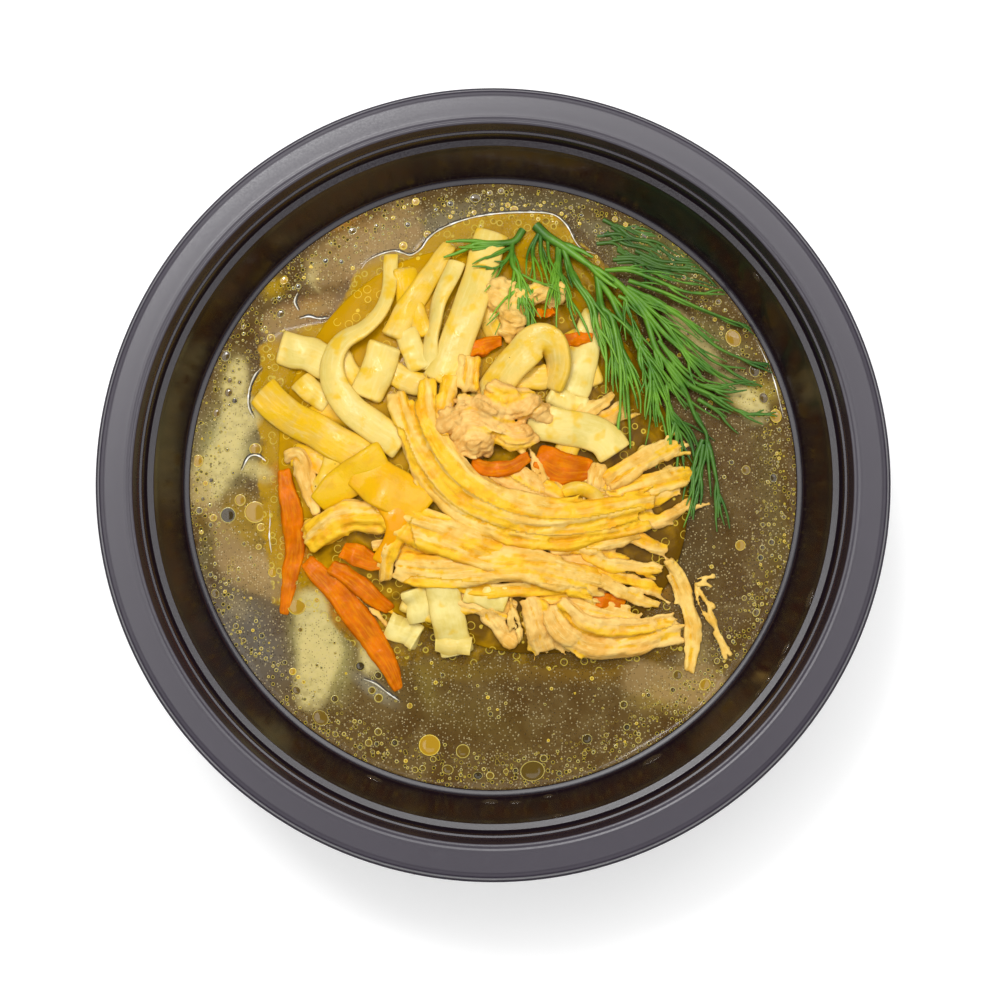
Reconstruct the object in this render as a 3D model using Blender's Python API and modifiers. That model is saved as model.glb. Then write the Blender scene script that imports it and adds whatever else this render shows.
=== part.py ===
"""Chicken noodle soup in its round black takeaway bowl.

The bowl is a thin plastic shell, turned about Z and standing on its foot ring at z = 0.
The broth fills it to LEVEL. A heap of flat egg noodles rises out of the broth, with torn
chicken, carrot strips and two sprigs of dill on it. Every piece is a solid of its own, and
what lies lower is cut away round what lies on it, with a gap of GAP.

Places in the soup are given as (across, along, lift): the first two in radii of the broth's
surface from the bowl's axis, the third in millimetres above the surface of the heap, or of the
broth round it.
"""

import math

import bmesh
import bpy
from mathutils import Vector

MM = 0.001
FLAT = math.radians(0.2)

# The bowl's outline, in millimetres.
RIM_RADIUS = 72.0
RIM_TOP = 64.0
WALL = 0.7
FOOT_OUTER = 36.8
FOOT_INNER = 31.0
FOOT_RECESS = 1.2
LEVEL = 48.4
LEDGE_RADIUS = 56.5
LEDGE_WIDTH = 1.4
LEDGE_RISE = 0.5
SEAT_RADIUS = 61.9
SEAT_WIDTH = 1.2
SEAT_TOP = 59.5
FLANGE_INNER = 66.2
FLANGE_OUTER = 70.4
SKIRT_DROP = 2.8
LIP_WIDTH = 0.8
FLARE = 0.8
TURNS = 48

# The contents, in millimetres. They fill the bowl to LEVEL, where its stacking ledge begins.
GAP = 0.3
NOODLE_THICKNESS = 1.3
HEAP_RISE = 5.2
HEAP_DEPTH = 7.0
HEAP_CENTRE = (-0.08, 0.06)
MOUND_PROUD = 0.3
MOUND_SHARE = 0.95

CHICKEN = ("chicken", (0.86, 0.62, 0.33), 0.45)
CARROT = ("carrot", (0.87, 0.28, 0.03), 0.35)
NOODLE = ("noodle", (0.88, 0.74, 0.38), 0.40)
BROTH = ("broth", (0.30, 0.20, 0.06), 0.12)
DILL = ("dill", (0.13, 0.34, 0.07), 0.45)
PLASTIC = ("black_plastic", (0.035, 0.032, 0.038), 0.28)

# Noodle ribbons: (width, places).
NOODLES = [
    (6.2, [(0.00, 0.84, 0.5), (-0.05, 0.66, 1.0), (-0.10, 0.53, 1.3), (-0.15, 0.39, 1.3), (-0.18, 0.33, 0.9)]),
    (2.6, [(-0.12, 0.74, 0.5), (-0.16, 0.63, 0.9), (-0.19, 0.51, 0.9), (-0.21, 0.37, 0.5)]),
    (4.4, [(-0.14, 0.80, 0.2), (-0.21, 0.69, 0.3), (-0.28, 0.59, 0.3), (-0.33, 0.48, 0.2)]),
    (4.2, [(-0.34, 0.77, 0.3), (-0.36, 0.59, 1.2), (-0.42, 0.51, 1.6), (-0.50, 0.46, 1.8), (-0.53, 0.37, 1.8),
           (-0.48, 0.26, 1.6), (-0.40, 0.19, 1.4), (-0.30, 0.12, 1.0)]),
    (6.2, [(-0.35, 0.46, 1.6), (-0.38, 0.38, 1.2), (-0.42, 0.28, 0.8)]),
    (4.0, [(-0.29, 0.51, 0.4), (-0.26, 0.44, 0.4), (-0.24, 0.37, 0.4)]),
    (6.4, [(-0.71, 0.46, 0.6), (-0.64, 0.44, 0.6), (-0.54, 0.40, 0.6)]),
    (4.2, [(-0.64, 0.35, 0.4), (-0.59, 0.30, 0.4), (-0.54, 0.26, 0.4)]),
    (6.3, [(-0.77, 0.31, 0.4), (-0.69, 0.24, 0.8), (-0.60, 0.19, 1.0), (-0.51, 0.13, 1.0), (-0.42, 0.08, 0.8)]),
    (4.0, [(-0.51, 0.10, 0.3), (-0.54, 0.03, 0.3), (-0.57, -0.04, 0.3)]),
    (7.0, [(-0.53, -0.10, 1.4), (-0.47, -0.01, 1.9), (-0.36, 0.05, 1.9), (-0.26, 0.00, 1.4)]),
    (6.2, [(0.04, 0.34, 0.4), (0.10, 0.42, 2.4), (0.17, 0.47, 3.6), (0.21, 0.42, 3.0), (0.21, 0.32, 0.6)]),
    (5.6, [(0.35, 0.57, 0.6), (0.31, 0.46, 0.8), (0.26, 0.29, 0.8)]),
    (4.0, [(0.18, 0.30, 0.5), (0.24, 0.27, 0.5), (0.31, 0.25, 0.5)]),
    (6.6, [(0.12, 0.20, 1.0), (0.22, 0.19, 1.4), (0.31, 0.17, 1.4), (0.38, 0.14, 1.2), (0.41, 0.08, 0.7)]),
    (6.4, [(-0.17, -0.31, 1.0), (-0.15, -0.41, 0.9), (-0.12, -0.54, 0.5)]),
    (5.0, [(-0.26, -0.34, 0.4), (-0.24, -0.40, 0.4), (-0.23, -0.45, 0.4)]),
    (4.6, [(-0.35, -0.46, 0.3), (-0.30, -0.48, 0.3), (-0.24, -0.51, 0.3)]),
    (5.0, [(-0.09, -0.34, 0.3), (-0.02, -0.36, 0.3), (0.05, -0.38, 0.3)]),
]
# Torn chicken, the topmost first. Each piece is strands that join: (width, thickness, places).
CHICKENS = {
    "chicken_stub": [(4.4, 3.0, [(-0.08, 0.42, 1.8), (-0.09, 0.30, 2.0)])],
    "chicken_long_curl": [
        (5.0, 3.0, [(-0.31, 0.30, 2.0), (-0.28, 0.20, 2.4), (-0.22, 0.08, 2.6), (-0.12, -0.04, 2.6),
                    (0.01, -0.11, 2.6), (0.16, -0.14, 2.6), (0.32, -0.13, 2.4), (0.47, -0.09, 2.0)]),
        (4.2, 3.0, [(-0.22, 0.34, 2.2), (-0.21, 0.23, 2.8), (-0.16, 0.11, 3.0), (-0.06, 0.00, 3.0),
                    (0.08, -0.07, 3.0), (0.23, -0.09, 3.0), (0.39, -0.07, 2.6), (0.53, -0.05, 2.0)]),
        (3.0, 2.4, [(-0.29, 0.16, 1.8), (-0.25, 0.04, 1.8), (-0.14, -0.08, 1.8), (0.03, -0.16, 1.8),
                    (0.19, -0.19, 1.8), (0.36, -0.17, 1.7), (0.52, -0.14, 1.5)]),
        (3.4, 2.4, [(-0.14, 0.36, 2.2), (-0.16, 0.26, 2.6), (-0.18, 0.16, 2.8)]),
    ],
    "chicken_left_strip": [
        (7.4, 3.0, [(-0.36, -0.08, 2.2), (-0.27, -0.13, 2.4), (-0.16, -0.17, 2.4), (-0.07, -0.20, 2.2), (0.03, -0.23, 1.8)]),
        (5.6, 3.4, [(-0.62, -0.19, 1.4), (-0.56, -0.15, 1.8), (-0.48, -0.11, 2.0), (-0.34, -0.11, 2.0)]),
        (2.6, 2.0, [(-0.29, -0.14, 2.2), (-0.34, -0.23, 1.9), (-0.36, -0.33, 1.0)]),
    ],
    "chicken_straight": [
        (7.2, 3.0, [(-0.32, -0.26, 1.2), (-0.19, -0.28, 1.6), (-0.04, -0.27, 2.0), (0.09, -0.27, 2.2),
                    (0.22, -0.30, 2.0), (0.35, -0.33, 1.3)]),
        (3.0, 2.0, [(-0.24, -0.31, 0.9), (-0.08, -0.34, 1.0), (0.12, -0.34, 1.0), (0.29, -0.34, 0.9)]),
    ],
    "chicken_inner": [(5.4, 2.2, [(0.01, 0.03, 1.4), (0.08, -0.01, 1.5), (0.16, -0.05, 1.3)])],
    "chicken_right_upper": [(4.2, 2.4, [(0.37, 0.00, 1.7), (0.43, 0.04, 2.1), (0.52, 0.09, 1.7), (0.61, 0.14, 0.9)])],
    "chicken_nub": [(3.2, 2.2, [(0.35, 0.07, 1.5), (0.34, 0.02, 1.5), (0.33, -0.03, 1.3)])],
    "chicken_right_lower": [(4.2, 2.0, [(0.40, -0.04, 1.0), (0.49, -0.01, 1.2), (0.60, 0.02, 0.8), (0.66, 0.04, 0.5)])],
    "chicken_sliver": [(2.6, 1.8, [(0.27, 0.21, 1.6), (0.33, 0.25, 1.6), (0.40, 0.30, 1.2)])],
    "chicken_middle": [
        (3.6, 2.2, [(0.18, -0.21, 1.0), (0.33, -0.19, 1.3), (0.48, -0.16, 1.2)]),
        (2.6, 1.6, [(0.27, -0.21, 1.1), (0.39, -0.26, 1.1), (0.56, -0.28, 0.6)]),
    ],
    "chicken_splinter": [(2.6, 2.0, [(0.30, -0.30, 1.2), (0.41, -0.35, 1.1), (0.55, -0.40, 0.6)])],
    "chicken_lower_curl": [
        (5.6, 3.2, [(0.19, -0.40, 1.3), (0.24, -0.48, 1.4), (0.33, -0.53, 1.4), (0.44, -0.52, 1.4),
                    (0.54, -0.49, 1.2), (0.62, -0.48, 0.8)]),
        (3.0, 2.4, [(0.22, -0.38, 1.8), (0.31, -0.46, 1.9), (0.44, -0.47, 1.8), (0.57, -0.46, 1.2)]),
    ],
    "chicken_lower_left": [(5.4, 2.8, [(0.12, -0.37, 1.3), (0.15, -0.46, 1.3), (0.18, -0.55, 0.6)])],
    "chicken_lower_middle": [(3.8, 2.2, [(0.22, -0.38, 0.8), (0.33, -0.41, 1.1), (0.48, -0.44, 0.8)])],
    "chicken_thread": [(1.4, 1.2, [(0.06, -0.37, 1.1), (0.07, -0.44, 1.0), (0.09, -0.52, 0.5)])],
    "chicken_afloat": [(2.7, 2.0, [(0.57, -0.25, 0.5), (0.62, -0.34, 0.8), (0.66, -0.49, 0.8), (0.65, -0.62, 0.3)])],
    "chicken_fork": [
        (1.5, 1.2, [(0.66, -0.33, 0.7), (0.71, -0.42, 0.7), (0.78, -0.56, 0.4)]),
        (1.4, 1.0, [(0.66, -0.33, 0.7), (0.70, -0.31, 0.7), (0.74, -0.30, 0.5)]),
    ],
    "chicken_left": [(3.2, 2.2, [(-0.69, 0.08, 0.8), (-0.64, 0.09, 1.2), (-0.61, 0.01, 1.3), (-0.58, -0.10, 1.3)])],
}
# Lumps of torn chicken: (centre, half lengths in millimetres, turn in degrees), which join.
LUMPS = {
    "chicken_knob": [
        ((-0.03, 0.22, 2.6), (6.2, 4.0, 2.7), 0.0),
        ((0.08, 0.26, 2.8), (6.6, 2.8, 2.2), -18.0),
        ((-0.06, 0.14, 2.3), (4.4, 3.4, 2.3), 0.0),
        ((-0.14, 0.20, 3.0), (3.4, 1.9, 1.5), 20.0),
    ],
    "chicken_top": [
        ((0.03, 0.61, 1.2), (3.8, 3.2, 1.9), 0.0),
        ((0.12, 0.62, 1.5), (4.8, 2.6, 1.7), 10.0),
        ((0.06, 0.53, 1.4), (2.6, 3.8, 1.7), 0.0),
        ((0.20, 0.63, 1.0), (2.6, 3.0, 1.3), 0.0),
    ],
}
# Carrot cut into strips: (width, thickness, places).
CARROTS = {
    "carrot_under_knob": (3.2, 2.0, [(-0.07, 0.07, 1.8), (0.01, 0.04, 2.0), (0.12, 0.09, 1.8)]),
    "carrot_point": (2.8, 1.4, [(0.22, 0.46, 1.0), (0.27, 0.48, 1.5), (0.33, 0.48, 2.1)]),
    "carrot_left": (4.2, 1.8, [(-0.69, 0.05, 0.6), (-0.67, -0.06, 0.7), (-0.66, -0.17, 0.6), (-0.67, -0.29, 0.3),
                               (-0.69, -0.43, -0.3)]),
    "carrot_long": (5.2, 2.0, [(-0.62, -0.25, 0.5), (-0.53, -0.34, 0.7), (-0.44, -0.46, 0.7), (-0.36, -0.57, 0.4),
                               (-0.31, -0.68, -0.3)]),
    "carrot_middle": (4.4, 2.0, [(-0.50, -0.21, 0.9), (-0.44, -0.24, 1.1), (-0.36, -0.26, 1.0)]),
    "carrot_deep": (4.0, 1.8, [(-0.54, -0.27, 0.2), (-0.44, -0.33, 0.2), (-0.34, -0.42, 0.0)]),
    "carrot_top": (3.4, 2.0, [(-0.09, 0.42, 0.8), (-0.04, 0.45, 1.1), (0.03, 0.47, 0.8)]),
    "carrot_chip": (2.2, 1.6, [(0.14, 0.56, 1.8), (0.21, 0.57, 1.6)]),
    "carrot_right": (5.4, 2.0, [(0.14, 0.09, 0.9), (0.23, 0.06, 1.1), (0.33, 0.06, 0.8)]),
    "carrot_lower": (3.0, 1.6, [(0.31, -0.37, 0.5), (0.37, -0.38, 0.5), (0.43, -0.40, 0.4)]),
}
# Sprigs of dill: a stem and its fronds, as (thickness at the root, places).
DILLS = {
    "dill_small": [
        (1.2, [(0.11, 0.85, 1.6), (0.02, 0.82, 2.2), (-0.10, 0.80, 1.6)]),
        (1.2, [(0.07, 0.84, 1.9), (0.06, 0.74, 3.6), (0.07, 0.64, 4.2), (0.09, 0.54, 3.4)]),
    ],
    "dill_large": [
        (1.5, [(0.14, 0.87, 1.6), (0.23, 0.80, 3.4), (0.33, 0.74, 4.4), (0.43, 0.67, 4.6), (0.55, 0.56, 4.4),
               (0.67, 0.44, 3.2), (0.80, 0.36, 1.4)]),
        (1.9, [(0.33, 0.74, 4.2), (0.36, 0.60, 3.8), (0.40, 0.45, 3.2), (0.44, 0.29, 2.6), (0.47, 0.12, 1.6)]),
        (1.9, [(0.43, 0.67, 4.6), (0.50, 0.52, 4.4), (0.57, 0.36, 3.6), (0.66, 0.20, 2.6), (0.71, 0.04, 1.6),
               (0.73, -0.07, 0.8)]),
        (1.5, [(0.35, 0.73, 4.4), (0.50, 0.69, 3.6), (0.66, 0.65, 2.4), (0.80, 0.63, 1.0)]),
        (1.5, [(0.47, 0.64, 4.4), (0.64, 0.59, 3.4), (0.84, 0.53, 1.2)]),
        (1.4, [(0.23, 0.81, 3.2), (0.24, 0.70, 3.6), (0.27, 0.60, 2.8)]),
        (1.4, [(0.57, 0.37, 3.6), (0.70, 0.28, 2.6), (0.84, 0.22, 1.0)]),
    ],
}


def wall_radius(z):
    """The radius of the bowl's inner wall below the stacking ledge, flaring fast near the foot."""
    share = (z - WALL) / (LEVEL - WALL)
    return FOOT_OUTER + (LEDGE_RADIUS - FOOT_OUTER) * share**FLARE


SURFACE_RADIUS = LEDGE_RADIUS - GAP


def heap_reach(turn):
    """How far the heap's uneven outline lies from its centre in this direction."""
    return (
        0.70
        + 0.07 * math.cos(turn - 0.7)
        + 0.05 * math.cos(2 * turn + 1.4)
        + 0.035 * math.cos(3 * turn + 1.9)
    )


def heap_height(across, along):
    """The heap's height above the broth at a place, in millimetres."""
    x, y = across - HEAP_CENTRE[0], along - HEAP_CENTRE[1]
    share = math.hypot(x, y) / heap_reach(math.atan2(y, x))
    return HEAP_RISE * max(0.0, 1.0 - share**2) ** 0.7


def spot(across, along, lift):
    """A place in the soup, in metres."""
    height = LEVEL + heap_height(across, along) + lift
    return Vector((across * SURFACE_RADIUS, along * SURFACE_RADIUS, height)) * MM


def clear_scene():
    for obj in list(bpy.data.objects):
        bpy.data.objects.remove(obj, do_unlink=True)


def new_collection(name, shown):
    made = bpy.data.collections.new(name)
    bpy.context.scene.collection.children.link(made)
    made.hide_render = not shown
    return made


def finish_of(finish):
    """The Principled material for a (name, colour, roughness) finish, made once."""
    name, colour, roughness = finish
    found = bpy.data.materials.get(name)
    if found:
        return found
    made = bpy.data.materials.new(name)
    made.use_nodes = True
    shader = made.node_tree.nodes["Principled BSDF"]
    shader.inputs["Base Color"].default_value = (*colour, 1.0)
    shader.inputs["Roughness"].default_value = roughness
    shader.inputs["Metallic"].default_value = 0.0
    return made


def place(name, data, collection, finish=None):
    """An object for this mesh or curve. With no finish it is a cutter, which isn't part of the model."""
    obj = bpy.data.objects.new(name, data)
    collection.objects.link(obj)
    if finish:
        data.materials.append(finish_of(finish))
    else:
        obj.hide_render = True
        obj.display_type = "WIRE"
    return obj


def turned(name, profile, collection, finish):
    """A profile of (radius, height) in millimetres, from the axis round to the axis, turned about Z."""
    mesh = bpy.data.meshes.new(name)
    edges = [(i, i + 1) for i in range(len(profile) - 1)]
    mesh.from_pydata([(r * MM, 0.0, z * MM) for r, z in profile], edges, [])
    obj = place(name, mesh, collection, finish)
    screw = obj.modifiers.new("turn", "SCREW")
    screw.axis = "Z"
    screw.steps = screw.render_steps = TURNS
    screw.use_merge_vertices = True
    screw.merge_threshold = 0.00001
    screw.use_smooth_shade = True
    return obj


def basin_profile(clear=0.0):
    """The bowl's inner face from the axis up to the broth's level, or a line this far inside it."""
    steps = 3
    heights = [WALL + (LEVEL - WALL) * (i / steps) ** 1.5 for i in range(steps + 1)]
    return [
        (0.0, WALL + FOOT_RECESS + clear),
        (FOOT_INNER - 1.6 - 0.5 * clear, WALL + FOOT_RECESS + clear),
        (FOOT_INNER - 0.5 * clear, WALL + clear),
        *[(wall_radius(z) - clear, max(z, WALL + clear)) for z in heights],
    ]


def bowl_profile():
    """The bowl's inner and upper face, from the axis up the wall and over the rim to the lip's edge."""
    return [
        *basin_profile(),
        (LEDGE_RADIUS + LEDGE_WIDTH, LEVEL + LEDGE_RISE),
        (SEAT_RADIUS, SEAT_TOP),
        (SEAT_RADIUS + SEAT_WIDTH, SEAT_TOP),
        (FLANGE_INNER - 0.9, RIM_TOP - 0.8),
        (FLANGE_INNER, RIM_TOP),
        (FLANGE_OUTER, RIM_TOP),
        (FLANGE_OUTER + 0.6, RIM_TOP - 0.6),
        (RIM_RADIUS - LIP_WIDTH, RIM_TOP - SKIRT_DROP + 0.1),
        (RIM_RADIUS, RIM_TOP - SKIRT_DROP),
    ]


def make_bowl(collection):
    bowl = turned("bowl", bowl_profile(), collection, PLASTIC)
    shell = bowl.modifiers.new("wall", "SOLIDIFY")
    shell.thickness = WALL * MM
    shell.offset = -1.0
    shell.use_even_offset = True
    return bowl


def make_broth(collection):
    """The broth fills the basin up to LEVEL, clear of the bowl by GAP all round and below."""
    broth = turned("broth", [*basin_profile(GAP), (0.0, LEVEL)][::-1], collection, BROTH)
    apply_modifiers(broth)
    return broth


def outline(name, width, thickness, sides, collection):
    """The cross-section of a strip as a closed flat curve: an oval of this many sides, or a box with 4."""
    curve = bpy.data.curves.new(name, "CURVE")
    spline = curve.splines.new("POLY")
    spline.points.add(sides - 1)
    spline.use_cyclic_u = True
    reach = math.sqrt(0.5) if sides == 4 else 1.0
    for i, point in enumerate(spline.points):
        turn = math.tau * (i + 0.5) / sides
        x = 0.5 * width * math.cos(turn) / reach
        y = 0.5 * thickness * math.sin(turn) / reach
        point.co = (x * MM, y * MM, 0.0, 1.0)
    made = place(name, curve, collection)
    made.hide_render = True
    return made


def strip_mesh(name, places, width, thickness, sides, cutters, ends, grow):
    """A flat strip along a smooth line through the places, broadside up.

    ends is the share of its width that it keeps at each end, and grow fattens it all round.
    """
    curve = bpy.data.curves.new(name, "CURVE")
    curve.dimensions = "3D"
    curve.twist_mode = "Z_UP"
    curve.resolution_u = 2 if 3 < len(places) < 7 else 1
    curve.use_fill_caps = True
    curve.bevel_mode = "OBJECT"
    curve.bevel_object = outline(name + "_section", width + 2 * grow, thickness + 2 * grow, sides, cutters)
    points = [spot(*p) for p in places]
    points[0] += (points[0] - points[1]).normalized() * grow * MM
    points[-1] += (points[-1] - points[-2]).normalized() * grow * MM
    spline = curve.splines.new("BEZIER")
    spline.bezier_points.add(len(points) - 1)
    for i, (knot, point) in enumerate(zip(spline.bezier_points, points)):
        knot.co = point
        knot.handle_left_type = knot.handle_right_type = "AUTO"
        knot.radius = ends if i in (0, len(points) - 1) else 1.0
    guide = place(name + "_route", curve, cutters)
    bpy.context.view_layer.update()
    graph = bpy.context.evaluated_depsgraph_get()
    mesh = bpy.data.meshes.new_from_object(guide.evaluated_get(graph))
    mesh.name = name
    shape = bmesh.new()
    shape.from_mesh(mesh)
    bmesh.ops.remove_doubles(shape, verts=shape.verts, dist=0.00001)
    bmesh.ops.recalc_face_normals(shape, faces=shape.faces)
    shape.to_mesh(mesh)
    shape.free()
    section = curve.bevel_object
    bpy.data.objects.remove(guide, do_unlink=True)
    bpy.data.objects.remove(section, do_unlink=True)
    return mesh


def heap_mesh(name, grow=0.0):
    """The mound that the noodles lie in, with its keel in the broth."""
    shape = bmesh.new()
    bmesh.ops.create_uvsphere(shape, u_segments=24, v_segments=8, radius=1.0)
    for vertex in shape.verts:
        x, y, z = vertex.co
        turn, share = math.atan2(y, x), math.hypot(x, y)
        reach = heap_reach(turn) * share * MOUND_SHARE
        across = HEAP_CENTRE[0] + reach * math.cos(turn)
        along = HEAP_CENTRE[1] + reach * math.sin(turn)
        outward = grow * share * MM
        place_at = spot(across, along, 0.0)
        height = heap_height(across, along) + MOUND_PROUD if z > 0 else HEAP_DEPTH * z
        fatter = math.copysign(grow, z) if abs(z) > 0.01 else 0.0
        vertex.co = (
            place_at.x + outward * math.cos(turn),
            place_at.y + outward * math.sin(turn),
            (LEVEL + height + fatter) * MM,
        )
    return written(name, shape)


def lump_mesh(name, centre, halves, turn_deg, grow=0.0):
    """A torn lump of meat: a ball pulled to size, with a furrowed skin."""
    shape = bmesh.new()
    bmesh.ops.create_icosphere(shape, subdivisions=2, radius=1.0)
    turn = math.radians(turn_deg)
    for vertex in shape.verts:
        x, y, z = vertex.co
        furrow = 1.0 + 0.13 * math.sin(4.3 * x + 2.0 * y) * math.cos(3.7 * y - 1.9 * z) + 0.08 * math.sin(7.0 * x * y + z)
        flat = Vector((x * (halves[0] * furrow + grow), y * (halves[1] * furrow + grow)))
        vertex.co = spot(*centre) + MM * Vector((
            flat.x * math.cos(turn) - flat.y * math.sin(turn),
            flat.x * math.sin(turn) + flat.y * math.cos(turn),
            z * (halves[2] * furrow + grow),
        ))
    return written(name, shape)


def written(name, shape):
    mesh = bpy.data.meshes.new(name)
    shape.to_mesh(mesh)
    shape.free()
    return mesh


def boxes_meet(a, b):
    """Whether the two meshes' boxes overlap."""
    for axis in range(3):
        low_a, high_a = extent(a, axis)
        low_b, high_b = extent(b, axis)
        if high_a < low_b or high_b < low_a:
            return False
    return True


def extent(obj, axis):
    along = [vertex.co[axis] for vertex in obj.data.vertices]
    return min(along), max(along)


def cut(obj, cutter, solver="EXACT"):
    modifier = obj.modifiers.new("cut_" + cutter.name, "BOOLEAN")
    modifier.operation = "DIFFERENCE"
    modifier.solver = solver
    modifier.object = cutter


def combined(name, objects):
    """One cutter or solid from overlapping meshes, by union."""
    first, *others = objects
    for other in others:
        modifier = first.modifiers.new("join_" + other.name, "BOOLEAN")
        modifier.operation = "UNION"
        modifier.solver = "EXACT"
        modifier.object = other
    apply_modifiers(first)
    for other in others:
        bpy.data.objects.remove(other, do_unlink=True)
    first.name = first.data.name = name
    return first


def apply_modifiers(obj):
    """The object's mesh becomes what its modifiers make of it, less any crumb that a cut left loose."""
    bpy.context.view_layer.update()
    graph = bpy.context.evaluated_depsgraph_get()
    mesh = bpy.data.meshes.new_from_object(obj.evaluated_get(graph))
    obj.modifiers.clear()
    obj.data = mesh
    shape = bmesh.new()
    shape.from_mesh(mesh)
    bmesh.ops.remove_doubles(shape, verts=shape.verts, dist=0.000005)
    bmesh.ops.dissolve_limit(shape, angle_limit=FLAT, verts=shape.verts, edges=shape.edges)
    crumbs = sorted(islands(shape), key=len)[:-1]
    bmesh.ops.delete(shape, geom=[vertex for crumb in crumbs for vertex in crumb], context="VERTS")
    shape.to_mesh(mesh)
    shape.free()


def islands(shape):
    """The vertices of each separate body of a mesh."""
    left = set(shape.verts)
    found = []
    while left:
        front = [left.pop()]
        island = list(front)
        while front:
            vertex = front.pop()
            for edge in vertex.link_edges:
                other = edge.other_vert(vertex)
                if other in left:
                    left.remove(other)
                    front.append(other)
                    island.append(other)
        found.append(island)
    return found


def make_piece(name, shapes, finish, soup, cutters):
    """A solid, and the same solid fattened by GAP to cut what lies lower. shapes(grow) gives its meshes."""
    pair = []
    for grow, collection, material, label in ((0.0, soup, finish, name), (GAP, cutters, None, "cut_" + name)):
        members = [place(mesh.name, mesh, collection, material) for mesh in shapes(label, grow)]
        pair.append(combined(label, members))
    return tuple(pair)


def strands(rows, sides, ends, cutters):
    """The maker of a piece's strands, from rows of (width, thickness, places)."""

    def made(label, grow):
        return [
            strip_mesh(f"{label}_{i}", places, width, thickness, sides, cutters, ends, grow)
            for i, (width, thickness, places) in enumerate(rows)
        ]

    return made


def lumps(rows):
    """The maker of a piece's lumps, from rows of (centre, half lengths, turn)."""

    def made(label, grow):
        return [lump_mesh(f"{label}_{i}", *row, grow) for i, row in enumerate(rows)]

    return made


def make_pieces(soup, cutters):
    """Dill, chicken and carrot, the topmost first, each as (solid, fattened cutter)."""
    made = []
    for name, rows in DILLS.items():
        fronds = [(root, 0.8 * root, places) for root, places in rows]
        made.append(make_piece(name, strands(fronds, 4, 0.45, cutters), DILL, soup, cutters))
    for name, rows in LUMPS.items():
        made.append(make_piece(name, lumps(rows), CHICKEN, soup, cutters))
    for name, rows in CHICKENS.items():
        made.append(make_piece(name, strands(rows, 6, 0.6, cutters), CHICKEN, soup, cutters))
    for name, row in CARROTS.items():
        made.append(make_piece(name, strands([row], 4, 0.75, cutters), CARROT, soup, cutters))
    return made


def make_noodles(soup, cutters):
    """The heap of noodles as one solid, and the same heap fattened, to cut the broth with."""
    ribbons = strands([(width, NOODLE_THICKNESS, places) for width, places in NOODLES], 4, 1.0, cutters)

    def made(label, grow):
        return [heap_mesh(label + "_mound", grow), *ribbons(label, grow)]

    return make_piece("noodles", made, NOODLE, soup, cutters)


def main():
    clear_scene()
    soup = new_collection("chicken_noodle_soup", True)
    cutters = new_collection("cutters", False)
    make_bowl(soup)
    pieces = make_pieces(soup, cutters)
    noodles, fat_noodles = make_noodles(soup, cutters)
    broth = make_broth(soup)
    for lower, (solid, _) in enumerate(pieces):
        for _, cutter in pieces[:lower]:
            if boxes_meet(solid, cutter):
                cut(solid, cutter)
    for solid, _ in pieces:
        apply_modifiers(solid)
    for _, cutter in pieces:
        # The exact solver loses the heap where a strand grazes it.
        cut(noodles, cutter, "MANIFOLD")
        cut(broth, cutter)
    apply_modifiers(noodles)
    cut(broth, fat_noodles)
    apply_modifiers(broth)


main()
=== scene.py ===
"""Chicken noodle soup in its black takeaway bowl: the dressed pieces, light and camera.

Places in the soup are given as (across, along, lift): the first two in radii of the broth's
surface from the bowl's axis, the third in millimetres above the surface of the heap, or of the
broth round it.
"""

import math
import random

import bmesh
import bpy
import numpy as np
from mathutils import Matrix, Vector
from mathutils.kdtree import KDTree


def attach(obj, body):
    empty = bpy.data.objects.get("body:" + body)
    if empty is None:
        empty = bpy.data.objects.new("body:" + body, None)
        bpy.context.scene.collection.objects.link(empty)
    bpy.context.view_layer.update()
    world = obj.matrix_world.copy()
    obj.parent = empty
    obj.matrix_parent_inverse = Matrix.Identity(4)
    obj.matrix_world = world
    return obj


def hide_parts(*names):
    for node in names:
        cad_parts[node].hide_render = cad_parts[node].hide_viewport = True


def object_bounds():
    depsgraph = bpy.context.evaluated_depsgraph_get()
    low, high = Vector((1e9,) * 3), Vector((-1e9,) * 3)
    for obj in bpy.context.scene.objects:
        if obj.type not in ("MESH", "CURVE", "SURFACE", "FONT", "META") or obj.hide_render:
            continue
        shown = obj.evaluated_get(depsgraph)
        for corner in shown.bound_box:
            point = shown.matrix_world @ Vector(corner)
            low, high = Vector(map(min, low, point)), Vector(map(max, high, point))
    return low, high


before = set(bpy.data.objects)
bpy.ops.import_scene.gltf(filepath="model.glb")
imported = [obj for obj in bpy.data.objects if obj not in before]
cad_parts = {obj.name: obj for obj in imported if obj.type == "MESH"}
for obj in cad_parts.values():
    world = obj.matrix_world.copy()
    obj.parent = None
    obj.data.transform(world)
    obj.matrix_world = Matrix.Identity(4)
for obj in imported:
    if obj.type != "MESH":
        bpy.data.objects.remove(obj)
CAD_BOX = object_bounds()

MM = 0.001
BODY = "root"
GOLDEN_TURN = math.pi * (3.0 - math.sqrt(5.0))

# The bowl, in millimetres.
RIM_RADIUS = 1000 * CAD_BOX[1].x
RIM_TOP = 1000 * CAD_BOX[1].z
WALL = 0.7
FOOT_OUTER = 36.8
FOOT_INNER = 31.0
FOOT_RECESS = 1.2
LEVEL = 48.4
LEDGE_RADIUS = 56.5
LEDGE_WIDTH = 1.4
LEDGE_RISE = 0.5
SEAT_RADIUS = 61.9
SEAT_WIDTH = 1.2
SEAT_TOP = 59.5
FLANGE_INNER = 66.2
FLANGE_OUTER = 70.4
SKIRT_DROP = 2.8
FLARE = 0.8
TURNS = 240

# The contents, in millimetres.
GAP = 0.3
SURFACE_RADIUS = LEDGE_RADIUS - GAP
HEAP_RISE = 5.2
HEAP_CENTRE = (-0.08, 0.06)
NOODLE_THICKNESS = 1.7

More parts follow.
